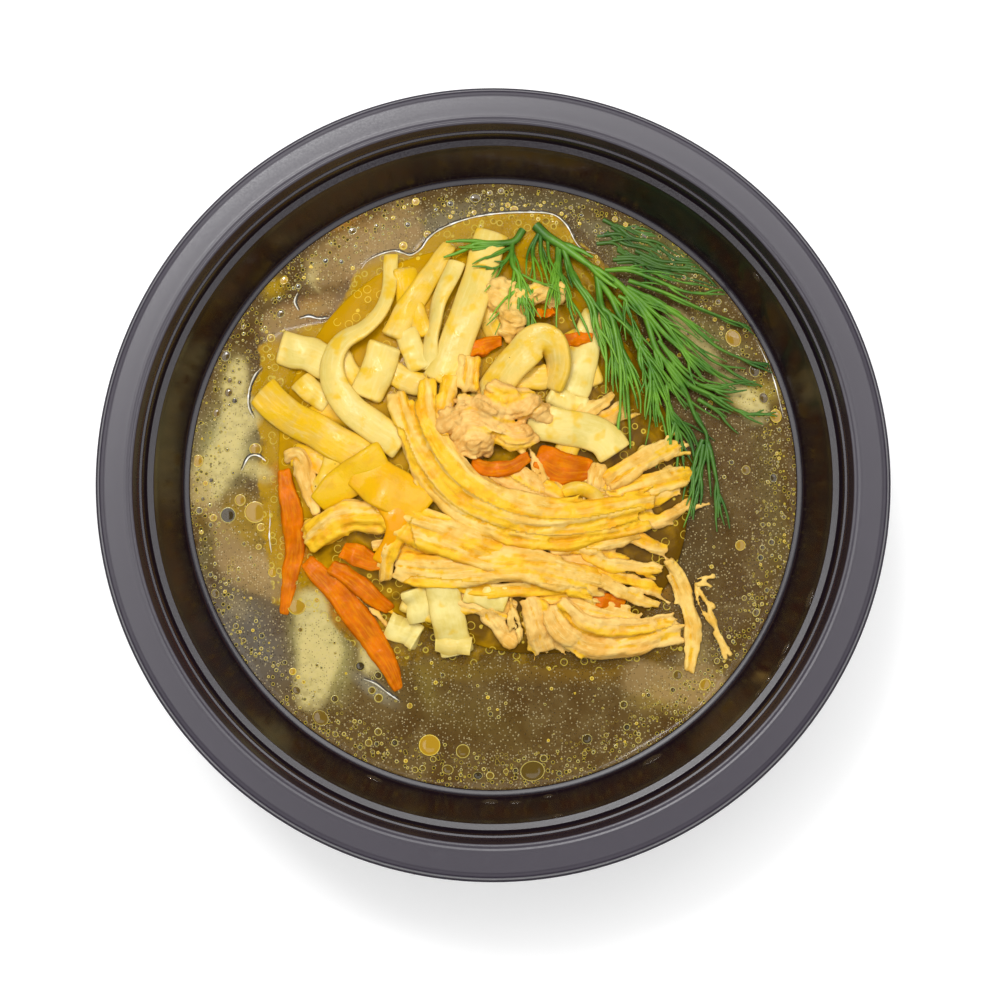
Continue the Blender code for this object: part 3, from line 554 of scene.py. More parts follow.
def noodle_finish():
    """Boiled egg noodle: pale yellow and glossy, with deep yellow oil in blotches and a little pepper."""
    f = Finish("egg_noodle", Specular_IOR_Level=0.17)
    place = f.object_mm()
    streak = f.stretched(f.node("UVMap").outputs[0], (0.12, 1.0, 1.0))
    lengthwise = f.noise(streak, 0.6, 3.0)
    cloud = f.noise(place, 4.0, 3.0, 0.55)
    yellow = f.attribute("yellow")
    pale = f.mix(f.span(cloud, 0.35, 0.65), (0.67, 0.52, 0.13), (0.77, 0.65, 0.24))
    rich = f.mix(f.span(cloud, 0.35, 0.65), (0.65, 0.34, 0.002), (0.76, 0.44, 0.006))
    share = f.math("ADD", yellow, f.math("MULTIPLY", f.math("SUBTRACT", cloud, 0.5), 1.4))
    base = f.mix(f.span(share, 0.0, 1.0), pale, rich)
    bleached = f.math("MULTIPLY", f.span(lengthwise, 0.45, 0.75, 0.0, 0.35), f.span(yellow, 1.0, 0.8, 0.1, 1.0))
    base = f.mix(bleached, base, (0.79, 0.68, 0.29))
    blot = f.noise(f.object_mm(move=(31.0, 7.0, 3.0)), 3.6, 2.0, 0.5, 0.2)
    blot = f.math("ADD", blot, f.math("MULTIPLY", yellow, 0.16))
    oil = f.span(blot, 0.58, 0.74)
    base = f.mix(f.math("MULTIPLY", oil, 0.8), base, (0.72, 0.43, 0.003))
    # painted shade along the ribbon's long edges
    base = f.mix(f.math("MULTIPLY", f.attribute("edge"), 0.38), base, (0.60, 0.36, 0.02))
    base = f.mix(f.math("MULTIPLY", f.span(yellow, 1.1, 1.4), f.span(cloud, 0.25, 0.55)), base, (0.76, 0.31, 0.001))
    # darker where wet with broth, and painted shade where the noodle lies deep in the heap
    base = f.mix(f.attribute("soaked_and_shaded"), base, (0.58, 0.30, 0.006))
    pepper = f.math("MULTIPLY", f.span(f.cells(place, 3.4), 0.055, 0.035), f.span(f.noise(place, 3.0, 1.0), 0.52, 0.6))
    base = f.mix(pepper, base, (0.10, 0.05, 0.01))
    wave = f.noise(place, 1.0, 3.0)
    rough = f.span(f.math("ADD", oil, wave), 0.2, 1.2, 0.24, 0.10)
    relief = f.bump(wave, 0.10, 0.7, f.bump(lengthwise, 0.06, 0.5))
    relief = f.bump(f.noise(place, 0.42, 2.0), 0.035, 0.8, relief)
    f.set(f.shader, {"Base Color": base, "Roughness": rough, "Normal": relief})
    return f.material


def chicken_finish():
    """Boiled chicken torn along its grain: cream to pinkish flesh, stained orange and yellow along its grooves, with
    painted highlights along the fine grain and painted shade, a darker orange, in the grooves.
    """
    f = Finish("torn_chicken", Specular_IOR_Level=0.11)
    grain = f.attribute("grain", "Vector")
    fine = f.noise(f.stretched(grain, (1.0, 1.0, 0.11)), 0.36, 3.0, 0.6)
    broad = f.noise(f.stretched(grain, (1.0, 0.7, 0.14)), 1.3, 2.0)
    strokes = f.noise(f.stretched(grain, (0.40, 0.22, 0.040)), 1.0, 2.0, 0.5, 0.3)
    place = f.object_mm()
    cloud = f.noise(place, 4.0, 3.0, 0.6)
    cream = f.mix(f.span(cloud, 0.3, 0.7), (0.69, 0.39, 0.045), (0.82, 0.57, 0.16))
    flesh = f.mix(f.span(cloud, 0.3, 0.7), (0.66, 0.33, 0.07), (0.81, 0.51, 0.16))
    base = f.mix(f.attribute("pink"), cream, flesh)
    # painted highlight: lighter streaks where the fine grain noise is high
    base = f.mix(f.span(fine, 0.5, 0.72, 0.0, 0.50), base, (0.82, 0.63, 0.22))
    hollow = f.attribute("hollow")
    stain = f.math("ADD", strokes, f.math("MULTIPLY", hollow, 0.18))
    stain = f.math("ADD", stain, f.math("MULTIPLY", f.math("SUBTRACT", f.attribute("oil"), 0.5), 0.26))
    stain = f.math("ADD", stain, f.math("MULTIPLY", f.math("SUBTRACT", cloud, 0.5), 0.25))
    yellow = f.span(stain, 0.47, 0.62)
    stained = f.mix(f.span(cloud, 0.36, 0.56), (0.75, 0.33, 0.0005), (0.80, 0.45, 0.001))
    base = f.mix(f.math("MULTIPLY", yellow, 0.86), base, stained)
    # painted shade: the grooves darker and more orange
    base = f.mix(f.span(hollow, 0.30, 1.0, 0.0, 0.46), base, (0.52, 0.22, 0.006))
    # darker where wet with broth, and painted shade where the shred lies deep in the heap
    base = f.mix(f.attribute("soaked_and_shaded"), base, (0.44, 0.22, 0.03))
    rough = f.span(f.math("ADD", yellow, fine), 0.3, 1.4, 0.36, 0.17)
    relief = f.bump(fine, 0.12, 0.8, f.bump(broad, 0.22, 0.6))
    f.set(f.shader, {"Base Color": base, "Roughness": rough, "Normal": relief})
    return f.material


def carrot_finish():
    """Cooked carrot: bright orange, yellower along its fibres, streaked and wet."""
    f = Finish("cooked_carrot", Specular_IOR_Level=0.05)
    place = f.object_mm()
    streak = f.stretched(f.node("UVMap").outputs[0], (0.14, 1.0, 1.0))
    lengthwise = f.noise(streak, 0.6, 4.0, 0.6)
    cloud = f.noise(place, 3.0, 3.0)
    base = f.mix(f.span(cloud, 0.3, 0.7), (0.44, 0.090, 0.001), (0.66, 0.15, 0.001))
    base = f.mix(f.span(lengthwise, 0.42, 0.68, 0.0, 0.45), base, (0.70, 0.27, 0.001))
    # darker where wet with broth, and painted shade where the carrot lies deep in the heap
    base = f.mix(f.attribute("soaked_and_shaded"), base, (0.40, 0.13, 0.001))
    relief = f.bump(lengthwise, 0.06, 0.6, f.bump(f.noise(place, 0.8, 3.0), 0.10, 0.6))
    f.set(f.shader, {"Base Color": base, "Roughness": f.span(cloud, 0.3, 0.7, 0.30, 0.16), "Normal": relief})
    return f.material


def dill_finish():
    """Fresh dill: thread leaves from dark to yellow green, with painted light on the threads that lie high and painted
    shade on those that lie low, and a faint wax on them.
    """
    f = Finish("fresh_dill", Specular_IOR_Level=0.3)
    place = f.object_mm()
    cloud = f.noise(place, 5.0, 3.0)
    lit_height = f.attribute("lit_height")
    base = f.mix(f.span(cloud, 0.3, 0.7), (0.050, 0.155, 0.010), (0.135, 0.310, 0.018))
    # painted light and shade: threads lying high are lighter yellow green, threads lying low darker
    base = f.mix(f.span(lit_height, 0.5, 1.0), base, (0.24, 0.47, 0.035))
    base = f.mix(f.span(lit_height, 0.5, 0.05, 0.0, 0.8), base, (0.020, 0.075, 0.014))
    wax = f.noise(place, 0.5, 3.0)
    base = f.mix(f.span(wax, 0.55, 0.8, 0.0, 0.3), base, (0.25, 0.48, 0.14))
    # darker where wet with broth, and painted shade where the dill lies low
    base = f.mix(f.attribute("soaked_and_shaded"), base, (0.030, 0.062, 0.012))
    f.set(f.shader, {"Base Color": base, "Roughness": f.span(wax, 0.3, 0.7, 0.42, 0.26)})
    f.set(f.shader, {"Normal": f.bump(wax, 0.05, 0.5)})
    return f.material


def broth_finish():
    """Olive-brown broth, amber round the heap with painted light brightest at the top left, clouded over what lies in
    it, with painted reflection of the light in grey patches, full of fine drops of fat with painted glints.
    """
    f = Finish("chicken_broth", Specular_IOR_Level=0.08, Alpha=0.82)
    place = f.object_mm()
    patch = f.noise(place, 6.0, 3.0, 0.6, 0.4)
    fine = f.noise(place, 1.3, 3.0, 0.6)
    ragged = f.math("MULTIPLY", f.math("SUBTRACT", f.math("ADD", patch, fine), 1.0), 0.55)
    base = f.mix(f.span(patch, 0.3, 0.7), (0.095, 0.050, 0.012), (0.150, 0.095, 0.030))
    # patches of colour: clouds over sunk pieces, and painted reflection of the light in the grey ones
    cloud_and_glare_share = f.math("MULTIPLY", f.attribute("cloud_and_glare_share"), f.span(ragged, -0.25, 0.2, 0.65, 1.1))
    base = f.mix(cloud_and_glare_share, base, f.attribute("cloud", "Color"))
    amber = f.span(f.math("ADD", f.attribute("amber"), ragged), 0.30, 0.62)
    # painted light on the amber fat: brightest at the top left of the heap
    glow = f.math("ADD", f.attribute("glow"), f.math("MULTIPLY", f.math("SUBTRACT", patch, 0.5), 1.3))
    glow = f.math("ADD", glow, f.math("MULTIPLY", f.math("SUBTRACT", fine, 0.5), 0.8))
    gold = f.mix(f.span(glow, 0.10, 0.90), (0.12, 0.060, 0.002), (0.47, 0.26, 0.001))
    base = f.mix(f.math("MULTIPLY", amber, 0.92), base, gold)
    veiled = f.math("MULTIPLY", f.attribute("veiled"), f.span(f.math("ADD", patch, fine), 0.75, 1.1, 0.62, 1.0))
    base = f.mix(veiled, base, f.attribute("veil", "Color"))
    wall = f.span(f.radius(), 0.84 * SURFACE_RADIUS, 0.96 * SURFACE_RADIUS)
    plain = f.math("SUBTRACT", 1.0, f.math("MULTIPLY", amber, 0.65))
    relief = f.bump(f.noise(place, 4.0, 2.0), 0.05, 0.6)
    # fine drops of fat: dark specks, and pale specks that are painted glints of the light on them
    for size, chance, tint in ((0.40, 0.50, (0.030, 0.018, 0.006)), (0.48, 0.32, (0.56, 0.46, 0.24))):
        distance, pick = f.drops(place, size)
        seen = f.math("MULTIPLY", f.span(distance, 0.34, 0.22), f.span(pick, chance, chance + 0.08))
        base = f.mix(f.math("MULTIPLY", f.math("MULTIPLY", seen, plain), 0.62), base, tint)
        relief = f.bump(seen, 0.03, 0.8, relief)
    for size, chance, near in ((0.85, 0.62, wall), (1.7, 0.40, amber)):
        distance, pick = f.drops(f.object_mm(move=(5.0, 3.0, 0.0)), size)
        chosen = f.math("MULTIPLY", f.span(pick, chance, chance + 0.05), near)
        middle = f.math("MULTIPLY", f.span(distance, 0.36, 0.30), chosen)
        edge = f.math("MULTIPLY", f.span(distance, 0.44, 0.40), f.span(distance, 0.30, 0.36))
        base = f.mix(f.math("MULTIPLY", f.math("MULTIPLY", middle, wall), 0.8), base, (0.028, 0.018, 0.005))
        base = f.mix(f.math("MULTIPLY", f.math("MULTIPLY", edge, chosen), 0.75), base, (0.62, 0.48, 0.06))
    f.set(f.shader, {"Base Color": base, "Roughness": f.span(fine, 0.3, 0.7, 0.05, 0.13), "Normal": relief})
    return f.material


def fat_finish():
    """A flat drop of chicken fat: a bright yellow edge, dark outside it, round a clear middle."""
    f = Finish("chicken_fat", Specular_IOR_Level=0.5, Roughness=0.07, Alpha=0.85)
    rim = f.attribute("rim")
    shade = f.attribute("shade")
    middle = f.mix(shade, (0.040, 0.026, 0.005), (0.46, 0.26, 0.010))
    edge = f.mix(shade, (0.50, 0.40, 0.08), (0.80, 0.60, 0.05))
    base = f.mix(f.span(rim, 0.35, 0.70), middle, edge)
    base = f.mix(f.span(rim, 0.80, 1.0), base, f.mix(shade, (0.02, 0.014, 0.004), (0.42, 0.24, 0.01)))
    f.set(f.shader, {"Base Color": base})
    return f.material


def core_finish():
    """The soaked middle of the heap, glossy with amber fat that lies between the noodles, with painted light brightest
    at the top left.
    """
    f = Finish("soaked_noodles", Specular_IOR_Level=0.05)
    place = f.object_mm()
    cloud = f.noise(place, 4.5, 3.0, 0.5, 0.5)
    # painted light: the fat between the noodles brightest at the top left of the heap
    glow = f.math("ADD", f.attribute("glow"), f.math("MULTIPLY", f.math("SUBTRACT", cloud, 0.5), 1.6))
    base = f.mix(f.span(glow, 0.0, 0.9), (0.11, 0.052, 0.002), (0.46, 0.24, 0.001))
    distance, pick = f.drops(place, 1.9)
    ring = f.math("MULTIPLY", f.span(distance, 0.44, 0.41), f.span(distance, 0.34, 0.38))
    base = f.mix(f.math("MULTIPLY", ring, f.span(pick, 0.5, 0.56, 0.0, 0.6)), base, (0.80, 0.58, 0.06))
    relief = f.bump(cloud, 0.25, 0.6, f.bump(ring, 0.03, 0.6))
    rough = f.span(f.noise(place, 1.0), 0.3, 0.7, 0.07, 0.18)
    f.set(f.shader, {"Base Color": base, "Roughness": rough, "Normal": relief})
    return f.material


def edge_finish():
    """Where a film of fat ends on the broth: a painted highlight line with a painted shade line outside it."""
    f = Finish("fat_edge", Specular_IOR_Level=0.6, Roughness=0.1)
    glint = f.noise(f.object_mm(), 2.4, 2.0)
    # painted highlight, near white, on the raised line, and painted shade, near black, on the line beside it
    bright = f.mix(f.span(glint, 0.35, 0.65), (0.60, 0.55, 0.40), (0.97, 0.96, 0.90))
    f.set(f.shader, {"Base Color": f.mix(f.attribute("bright"), (0.03, 0.02, 0.008), bright)})
    return f.material


def droplet_finish():
    """Clear broth in drops on the plastic."""
    f = Finish("broth_drops", Specular_IOR_Level=0.6, Roughness=0.04, Alpha=0.35)
    f.set(f.shader, {"Base Color": f.mix(f.noise(f.object_mm(), 1.0), (0.06, 0.04, 0.02), (0.10, 0.07, 0.04))})
    return f.material


# ---------------------------------------------------------------- the bowl

def wall_radius(z):
    """The radius of the bowl's inner wall below the stacking ledge, flaring fast near the foot."""
    share = (z - WALL) / (LEVEL - WALL)
    return FOOT_OUTER + (LEDGE_RADIUS - FOOT_OUTER) * share**FLARE


def inner_line():
    """The inner and upper face as (radius, height, rounding), from the axis to the lip."""
    steps = 8
    heights = [WALL + (LEVEL - WALL) * (i / steps) ** 1.5 for i in range(steps + 1)]
    return [
        (0.0, WALL + FOOT_RECESS, 0.0),
        (FOOT_INNER - 1.6, WALL + FOOT_RECESS, 0.5),
        (FOOT_INNER, WALL, 0.3),
        *[(wall_radius(z), z, 1.5 if i == 0 else 0.0) for i, z in enumerate(heights[:-1])],
        (LEDGE_RADIUS, LEVEL, 0.35),
        (LEDGE_RADIUS + 0.8, LEVEL + 0.25, 0.1),
        (LEDGE_RADIUS + LEDGE_WIDTH, LEVEL + LEDGE_RISE, 0.35),
        (SEAT_RADIUS - 0.55, SEAT_TOP - 1.6, 0.5),
        (SEAT_RADIUS - 0.2, SEAT_TOP - 0.12, 0.12),
        (SEAT_RADIUS + SEAT_WIDTH - 0.2, SEAT_TOP, 0.15),
        (SEAT_RADIUS + 1.45, SEAT_TOP + 1.5, 0.2),
        (SEAT_RADIUS + 1.65, SEAT_TOP + 1.9, 0.1),
        (SEAT_RADIUS + 2.15, SEAT_TOP + 2.05, 0.12),
        (SEAT_RADIUS + 2.4, SEAT_TOP + 2.5, 0.12),
        (FLANGE_INNER - 1.55, RIM_TOP - 0.85, 0.2),
        (FLANGE_INNER - 1.35, RIM_TOP - 0.20, 0.08),
        (FLANGE_INNER - 0.95, RIM_TOP - 0.05, 0.12),
        (FLANGE_INNER - 0.55, RIM_TOP - 0.16, 0.08),
        (FLANGE_INNER - 0.15, RIM_TOP - 0.02, 0.12),
        (FLANGE_INNER + 0.35, RIM_TOP - 0.09, 0.15),
        (FLANGE_INNER + 1.4, RIM_TOP - 0.05, 0.2),
        (FLANGE_OUTER - 0.6, RIM_TOP, 0.2),
        (FLANGE_OUTER - 0.2, RIM_TOP - 0.10, 0.1),
        (FLANGE_OUTER + 0.4, RIM_TOP - 0.20, 0.2),
        (FLANGE_OUTER + 0.75, RIM_TOP - 0.75, 0.2),
        (RIM_RADIUS - 0.55, RIM_TOP - SKIRT_DROP + 0.4, 0.2),
        (RIM_RADIUS - 0.1, RIM_TOP - SKIRT_DROP + 0.1, 0.08),
        (RIM_RADIUS - 0.02, RIM_TOP - SKIRT_DROP - 0.3, 0.08),
    ]


def turned(name, line, steps=TURNS):
    """A line of (radius, height, rounding) in millimetres, rounded at its corners and spun about Z."""
    bpy.ops.mesh.primitive_plane_add(size=0.001)
    obj = added(name)

    def first_point():
        bpy.ops.mesh.merge(type="CENTER")
        r, z, _ = line[0]
        bpy.ops.transform.translate(value=(r * MM, 0.0, z * MM))

    def draw():
        for (r0, z0, _), (r1, z1, _) in zip(line, line[1:]):
            bpy.ops.mesh.extrude_vertices_move(
                TRANSFORM_OT_translate={"value": ((r1 - r0) * MM, 0.0, (z1 - z0) * MM)}
            )

    def round_corners():
        for r, z, rounding in line:
            if not rounding:
                continue
            bpy.ops.mesh.select_all(action="DESELECT")
            shape = bmesh.from_edit_mesh(obj.data)
            for vertex in shape.verts:
                if (vertex.co - Vector((r * MM, 0.0, z * MM))).length < 1e-6:
                    vertex.select = True
            shape.select_flush(True)
            bmesh.update_edit_mesh(obj.data)
            bpy.ops.mesh.bevel(affect="VERTICES", offset=rounding * MM, segments=4, profile=0.5)
        bpy.ops.mesh.select_all(action="SELECT")

    def spin():
        bpy.ops.mesh.spin(steps=steps, angle=math.tau, center=(0.0, 0.0, 0.0), axis=(0.0, 0.0, 1.0))
        bpy.ops.mesh.select_all(action="SELECT")

    in_edit(obj, first_point, draw, round_corners, spin, weld, face_out)
    return obj


def make_bowl():
    bowl = turned("bowl_shell", inner_line())
    modifier(bowl, "SOLIDIFY", thickness=(WALL - 0.02) * MM, offset=-1.0, use_even_offset=True)
    apply_modifiers(bowl)
    smooth(bowl, math.radians(40))
    return bowl


# ---------------------------------------------------------------- the broth

# Patches on the broth: clouds over the pieces that lie in it, and painted reflection of the light in the grey ones:
# (place, reach across and along, turn in degrees, colour, strength).
CLOUDS = [
    ((-0.21, 0.85), (0.200, 0.057), 22, (0.190, 0.152, 0.074), 0.9),
    ((0.12, 0.94), (0.233, 0.040), 0, (0.120, 0.098, 0.046), 0.8),
    ((-0.44, 0.79), (0.153, 0.067), 38, (0.408, 0.232, 0.082), 0.95),
    ((-0.64, 0.57), (0.113, 0.043), 20, (0.381, 0.194, 0.072), 0.9),
    ((-0.49, 0.88), (0.060, 0.023), 30, (0.372, 0.160, 0.012), 0.7),
    ((-0.28, 0.84), (0.043, 0.027), 10, (0.540, 0.194, 0.019), 0.8),
    ((-0.73, 0.66), (0.040, 0.030), 30, (0.451, 0.278, 0.008), 0.9),
    ((-0.60, 0.59), (0.047, 0.023), 10, (0.557, 0.317, 0.012), 0.8),
    ((-0.87, 0.35), (0.047, 0.090), -14, (0.306, 0.232, 0.075), 0.8),
    ((-0.89, 0.13), (0.087, 0.127), -12, (0.420, 0.375, 0.150), 0.9),
    ((-0.81, 0.06), (0.067, 0.027), 0, (0.428, 0.337, 0.092), 0.7),
    ((-0.96, -0.04), (0.050, 0.043), -40, (0.418, 0.290, 0.092), 0.85),
    ((-0.83, -0.13), (0.113, 0.087), -20, (0.408, 0.246, 0.018), 0.8),
    ((-0.79, -0.28), (0.100, 0.060), -15, (0.487, 0.321, 0.115), 0.95),
    ((-0.85, -0.41), (0.053, 0.040), -40, (0.381, 0.278, 0.111), 0.6),
    ((-0.82, -0.51), (0.113, 0.200), 32, (0.130, 0.115, 0.092), 0.85),
    ((-0.57, -0.53), (0.087, 0.153), 12, (0.467, 0.418, 0.143), 0.95),
    ((-0.54, -0.41), (0.067, 0.067), 0, (0.428, 0.317, 0.060), 0.7),
    ((-0.40, -0.67), (0.087, 0.023), -35, (0.290, 0.260, 0.168), 0.7),
    ((-0.33, -0.51), (0.087, 0.040), -10, (0.457, 0.381, 0.155), 0.8),
    ((-0.08, -0.76), (0.200, 0.073), -20, (0.144, 0.094, 0.020), 0.5),
    ((-0.22, -0.67), (0.033, 0.087), 18, (0.226, 0.165, 0.032), 0.6),
    ((0.61, -0.67), (0.127, 0.060), 12, (0.408, 0.275, 0.063), 0.9),
    ((0.66, -0.56), (0.047, 0.087), 0, (0.381, 0.278, 0.092), 0.5),
    ((0.86, 0.30), (0.090, 0.040), 10, (0.408, 0.297, 0.045), 0.85),
    ((0.76, 0.48), (0.100, 0.040), -35, (0.226, 0.194, 0.060), 0.6),
    ((0.56, 0.76), (0.173, 0.080), -22, (0.134, 0.139, 0.038), 0.75),
    ((0.40, 0.85), (0.100, 0.033), -10, (0.194, 0.176, 0.082), 0.7),
    ((0.17, 0.84), (0.107, 0.067), 0, (0.040, 0.024, 0.005), 0.9),
    ((0.66, -0.17), (0.113, 0.167), 0, (0.094, 0.062, 0.025), 0.6),
    ((0.45, 0.20), (0.073, 0.087), 0, (0.134, 0.056, 0.004), 0.8),
    ((0.58, 0.04), (0.087, 0.073), 0, (0.408, 0.232, 0.009), 0.9),
    ((0.49, -0.34), (0.087, 0.073), 0, (0.408, 0.176, 0.008), 0.9),
    ((0.31, -0.61), (0.233, 0.040), 0, (0.226, 0.120, 0.011), 0.7),
    ((-0.13, -0.61), (0.200, 0.040), 0, (0.212, 0.130, 0.015), 0.6),
    ((-0.96, -0.24), (0.027, 0.267), -14, (0.160, 0.134, 0.053), 0.5),
    ((0.92, -0.04), (0.040, 0.300), 8, (0.139, 0.102, 0.027), 0.5),
]

# Where the film of amber fat round the heap ends.
FILM_EDGE = [
    (-0.432, 0.738), (-0.382, 0.768), (-0.332, 0.782), (-0.275, 0.768), (-0.225, 0.818), (-0.175, 0.855),
    (-0.102, 0.885), (-0.009, 0.905), (0.125, 0.915), (0.225, 0.905), (0.275, 0.812), (0.341, 0.772),
    (0.418, 0.678), (0.491, 0.528), (0.525, 0.362), (0.545, 0.228), (0.638, 0.128), (0.691, 0.028),
    (0.658, -0.038), (0.631, -0.112), (0.585, -0.188), (0.565, -0.238), (0.541, -0.288), (0.525, -0.345),
    (0.571, -0.392), (0.678, -0.465), (0.665, -0.532), (0.558, -0.578), (0.358, -0.612), (0.158, -0.605),
    (0.025, -0.565), (-0.109, -0.598), (-0.209, -0.555), (-0.295, -0.598), (-0.435, -0.555), (-0.555, -0.438),
    (-0.642, -0.412), (-0.722, -0.392), (-0.749, -0.238), (-0.769, -0.105), (-0.782, 0.062), (-0.769, 0.162),
    (-0.792, 0.228), (-0.815, 0.278), (-0.802, 0.335), (-0.769, 0.388), (-0.782, 0.462), (-0.692, 0.515),
    (-0.542, 0.548), (-0.489, 0.628), (-0.462, 0.695),
]

# The stretches of that edge, and of others like it, that stand up, drawn as painted highlight lines.
BRIGHT_EDGES = [
    [(-0.439, 0.722), (-0.422, 0.745), (-0.382, 0.768), (-0.332, 0.782), (-0.302, 0.775), (-0.275, 0.768),
     (-0.242, 0.788), (-0.215, 0.825), (-0.175, 0.855), (-0.102, 0.885), (-0.009, 0.905), (0.108, 0.912),
     (0.198, 0.905), (0.245, 0.868), (0.275, 0.812), (0.301, 0.785), (0.341, 0.772)],
    [(-0.769, 0.392), (-0.792, 0.368), (-0.809, 0.328), (-0.815, 0.288), (-0.812, 0.255), (-0.795, 0.222)],
    [(-0.749, 0.162), (-0.732, 0.135), (-0.725, 0.095), (-0.729, 0.055)],
    [(-0.645, 0.555), (-0.615, 0.562), (-0.582, 0.555), (-0.549, 0.558)],
    [(-0.835, 0.048), (-0.812, 0.092), (-0.782, 0.098), (-0.749, 0.075)],
    [(0.658, -0.038), (0.638, -0.085), (0.625, -0.125), (0.585, -0.188), (0.565, -0.225), (0.561, -0.258),
     (0.541, -0.288), (0.525, -0.345)],
    [(0.541, 0.842), (0.658, 0.768), (0.751, 0.695), (0.818, 0.618), (0.851, 0.545), (0.891, 0.455),
     (0.931, 0.362), (0.965, 0.228)],
    [(-0.745, -0.038), (-0.739, -0.105), (-0.742, -0.172), (-0.735, -0.225)],
    [(-0.429, -0.642), (-0.389, -0.658), (-0.349, -0.688), (-0.309, -0.715)],
    [(0.398, 0.262), (0.451, 0.288), (0.491, 0.308), (0.531, 0.322)],
    [(-0.652, 0.642), (-0.662, 0.612), (-0.649, 0.582)],
    [(0.585, 0.162), (0.618, 0.122), (0.638, 0.088)],
]


# How a noodle and a shred look through the film of broth over them.
VEILED_NOODLE = (0.60, 0.49, 0.19)
VEILED_CHICKEN = (0.31, 0.20, 0.075)
VEILED_CARROT = (0.50, 0.16, 0.004)


def glow(places):
    """How much painted light the fat gets at each place: most at the top left of the heap."""
    return np.clip(0.42 + 0.50 * (places[:, 1] - places[:, 0]), 0.0, 1.0)


def broth_line():
    """The broth's outline, reaching just into the wall, with its edge drawn up by the plastic."""
    reach = 0.25
    steps = 6
    heights = [WALL + (LEVEL - WALL) * (i / steps) ** 1.5 for i in range(steps)]
    edge = [(LEDGE_RADIUS - d, LEVEL + 0.42 * math.exp(-d / 0.9)) for d in (0.0, 0.3, 0.7, 1.2, 2.0, 3.2)]
    rings = 110
    return [
        (0.0, WALL + FOOT_RECESS - reach, 0.0),
        (FOOT_INNER - 2.0, WALL + FOOT_RECESS - reach, 0.0),
        *[(wall_radius(z) + reach, z + 0.5, 0.0) for z in heights],
        (LEDGE_RADIUS + reach, LEVEL - 0.4, 0.0),
        *[(r, z, 0.0) for r, z in edge],
        *[((LEDGE_RADIUS - 3.2) * (1 - i / rings), LEVEL, 0.0) for i in range(1, rings + 1)],
    ]


def film_depth(places):
    """How far inside the edge of the amber film each place lies, in radii; below 0 outside it."""
    corners_of = np.array(FILM_EDGE)
    after = np.roll(corners_of, -1, axis=0)
    inside = np.zeros(len(places), bool)
    nearest = np.full(len(places), 9.0)
    for a, b in zip(corners_of, after):
        run = b - a
        share = np.clip((places - a) @ run / (run @ run), 0.0, 1.0)
        nearest = np.minimum(nearest, np.linalg.norm(places - a - share[:, None] * run, axis=1))
        crosses = (a[1] > places[:, 1]) != (b[1] > places[:, 1])
        meets = a[0] + (places[:, 1] - a[1]) * run[0] / (run[1] or 1e-9)
        inside ^= crosses & (places[:, 0] < meets)
    return np.where(inside, nearest, -nearest)


def keep_inside(obj):
    """Draws what reaches past the bowl's wall back to just inside it."""
    co = corners(obj)
    limit = MM * np.array([wall_radius(min(z / MM, LEVEL)) - GAP for z in co[:, 2]])
    co[:, :2] *= np.minimum(1.0, limit / np.maximum(np.hypot(co[:, 0], co[:, 1]), 1e-6))[:, None]
    set_corners(obj, co)


def veil_over(broth, co, places):
    """Tints the film of broth over the pieces that lie under it, with soft edges."""
    rows = [(width, route, VEILED_NOODLE, 1.0) for width, route in SUNK_NOODLES]
    rows += [(width, route, VEILED_CHICKEN, 0.9) for width, _, route in SUNK_CHICKEN]
    rows += [(CARROTS[node][0] + 0.6, CARROTS[node][2][:-1], VEILED_CARROT, 0.7) for node in CARROTS_IN_FILM]
    colour, veiled = np.zeros((len(co), 3)), np.full(len(co), 1e-6)
    for i, (width, route, tint, strength) in enumerate(rows):
        gap = 1000 * np.min([np.linalg.norm(co[:, :2] - point, axis=1) for point in Route(route).points[:, :2]], axis=0)
        wobble = 0.6 * np.sin(places[:, 0] * 23 + i) + 0.6 * np.sin(places[:, 1] * 31 + 2 * i)
        share = strength * np.clip((0.5 * width + wobble + 0.3 - gap) / 1.8, 0.0, 1.0)
        colour += share[:, None] ** 2 * np.array(tint)
        veiled += share**2
    give(broth, "veil", colour / veiled[:, None])
    give(broth, "veiled", np.clip(np.sqrt(veiled), 0.0, 1.0))


def make_broth():
    broth = turned("broth_pool", broth_line(), 360)
    co = corners(broth)
    places = co[:, :2] / (SURFACE_RADIUS * MM)
    top = (co[:, 2] > (LEVEL - 0.05) * MM) & (np.linalg.norm(places, axis=1) < 0.985)
    depth = film_depth(places)
    swell = 0.22 * np.clip(depth / 0.03, 0.0, 1.0) + 0.5 * np.exp(-(((depth - 0.09) / 0.06) ** 2))
    swell += 0.06 * np.sin(places[:, 0] * 11 + 2 * np.sin(places[:, 1] * 8))
    co[:, 2] += np.where(top, swell, 0.0) * MM
    set_corners(broth, co)
    give(broth, "amber", np.clip(depth / 0.05 + 0.5, 0.0, 1.0))
    # patches of colour: clouds over sunk pieces, and painted reflection of the light in the grey ones
    colour, cloud_and_glare_share = np.zeros((len(co), 3)), np.full(len(co), 1e-6)
    for centre, reach, turn, tint, strength in CLOUDS:
        away = places - centre
        c, s = math.cos(math.radians(turn)), math.sin(math.radians(turn))
        gap = np.hypot((away[:, 0] * c + away[:, 1] * s) / reach[0], (away[:, 1] * c - away[:, 0] * s) / reach[1])
        share = strength * np.clip(1.45 - 0.9 * gap, 0.0, 1.0) ** 1.3
        colour += share[:, None] ** 2 * np.array(tint)
        cloud_and_glare_share += share**2
    give(broth, "cloud", colour / cloud_and_glare_share[:, None])
    give(broth, "cloud_and_glare_share", np.clip(np.sqrt(cloud_and_glare_share), 0.0, 1.0))
    give(broth, "glow", glow(places))
    veil_over(broth, co, places)
    smooth(broth)
    return broth


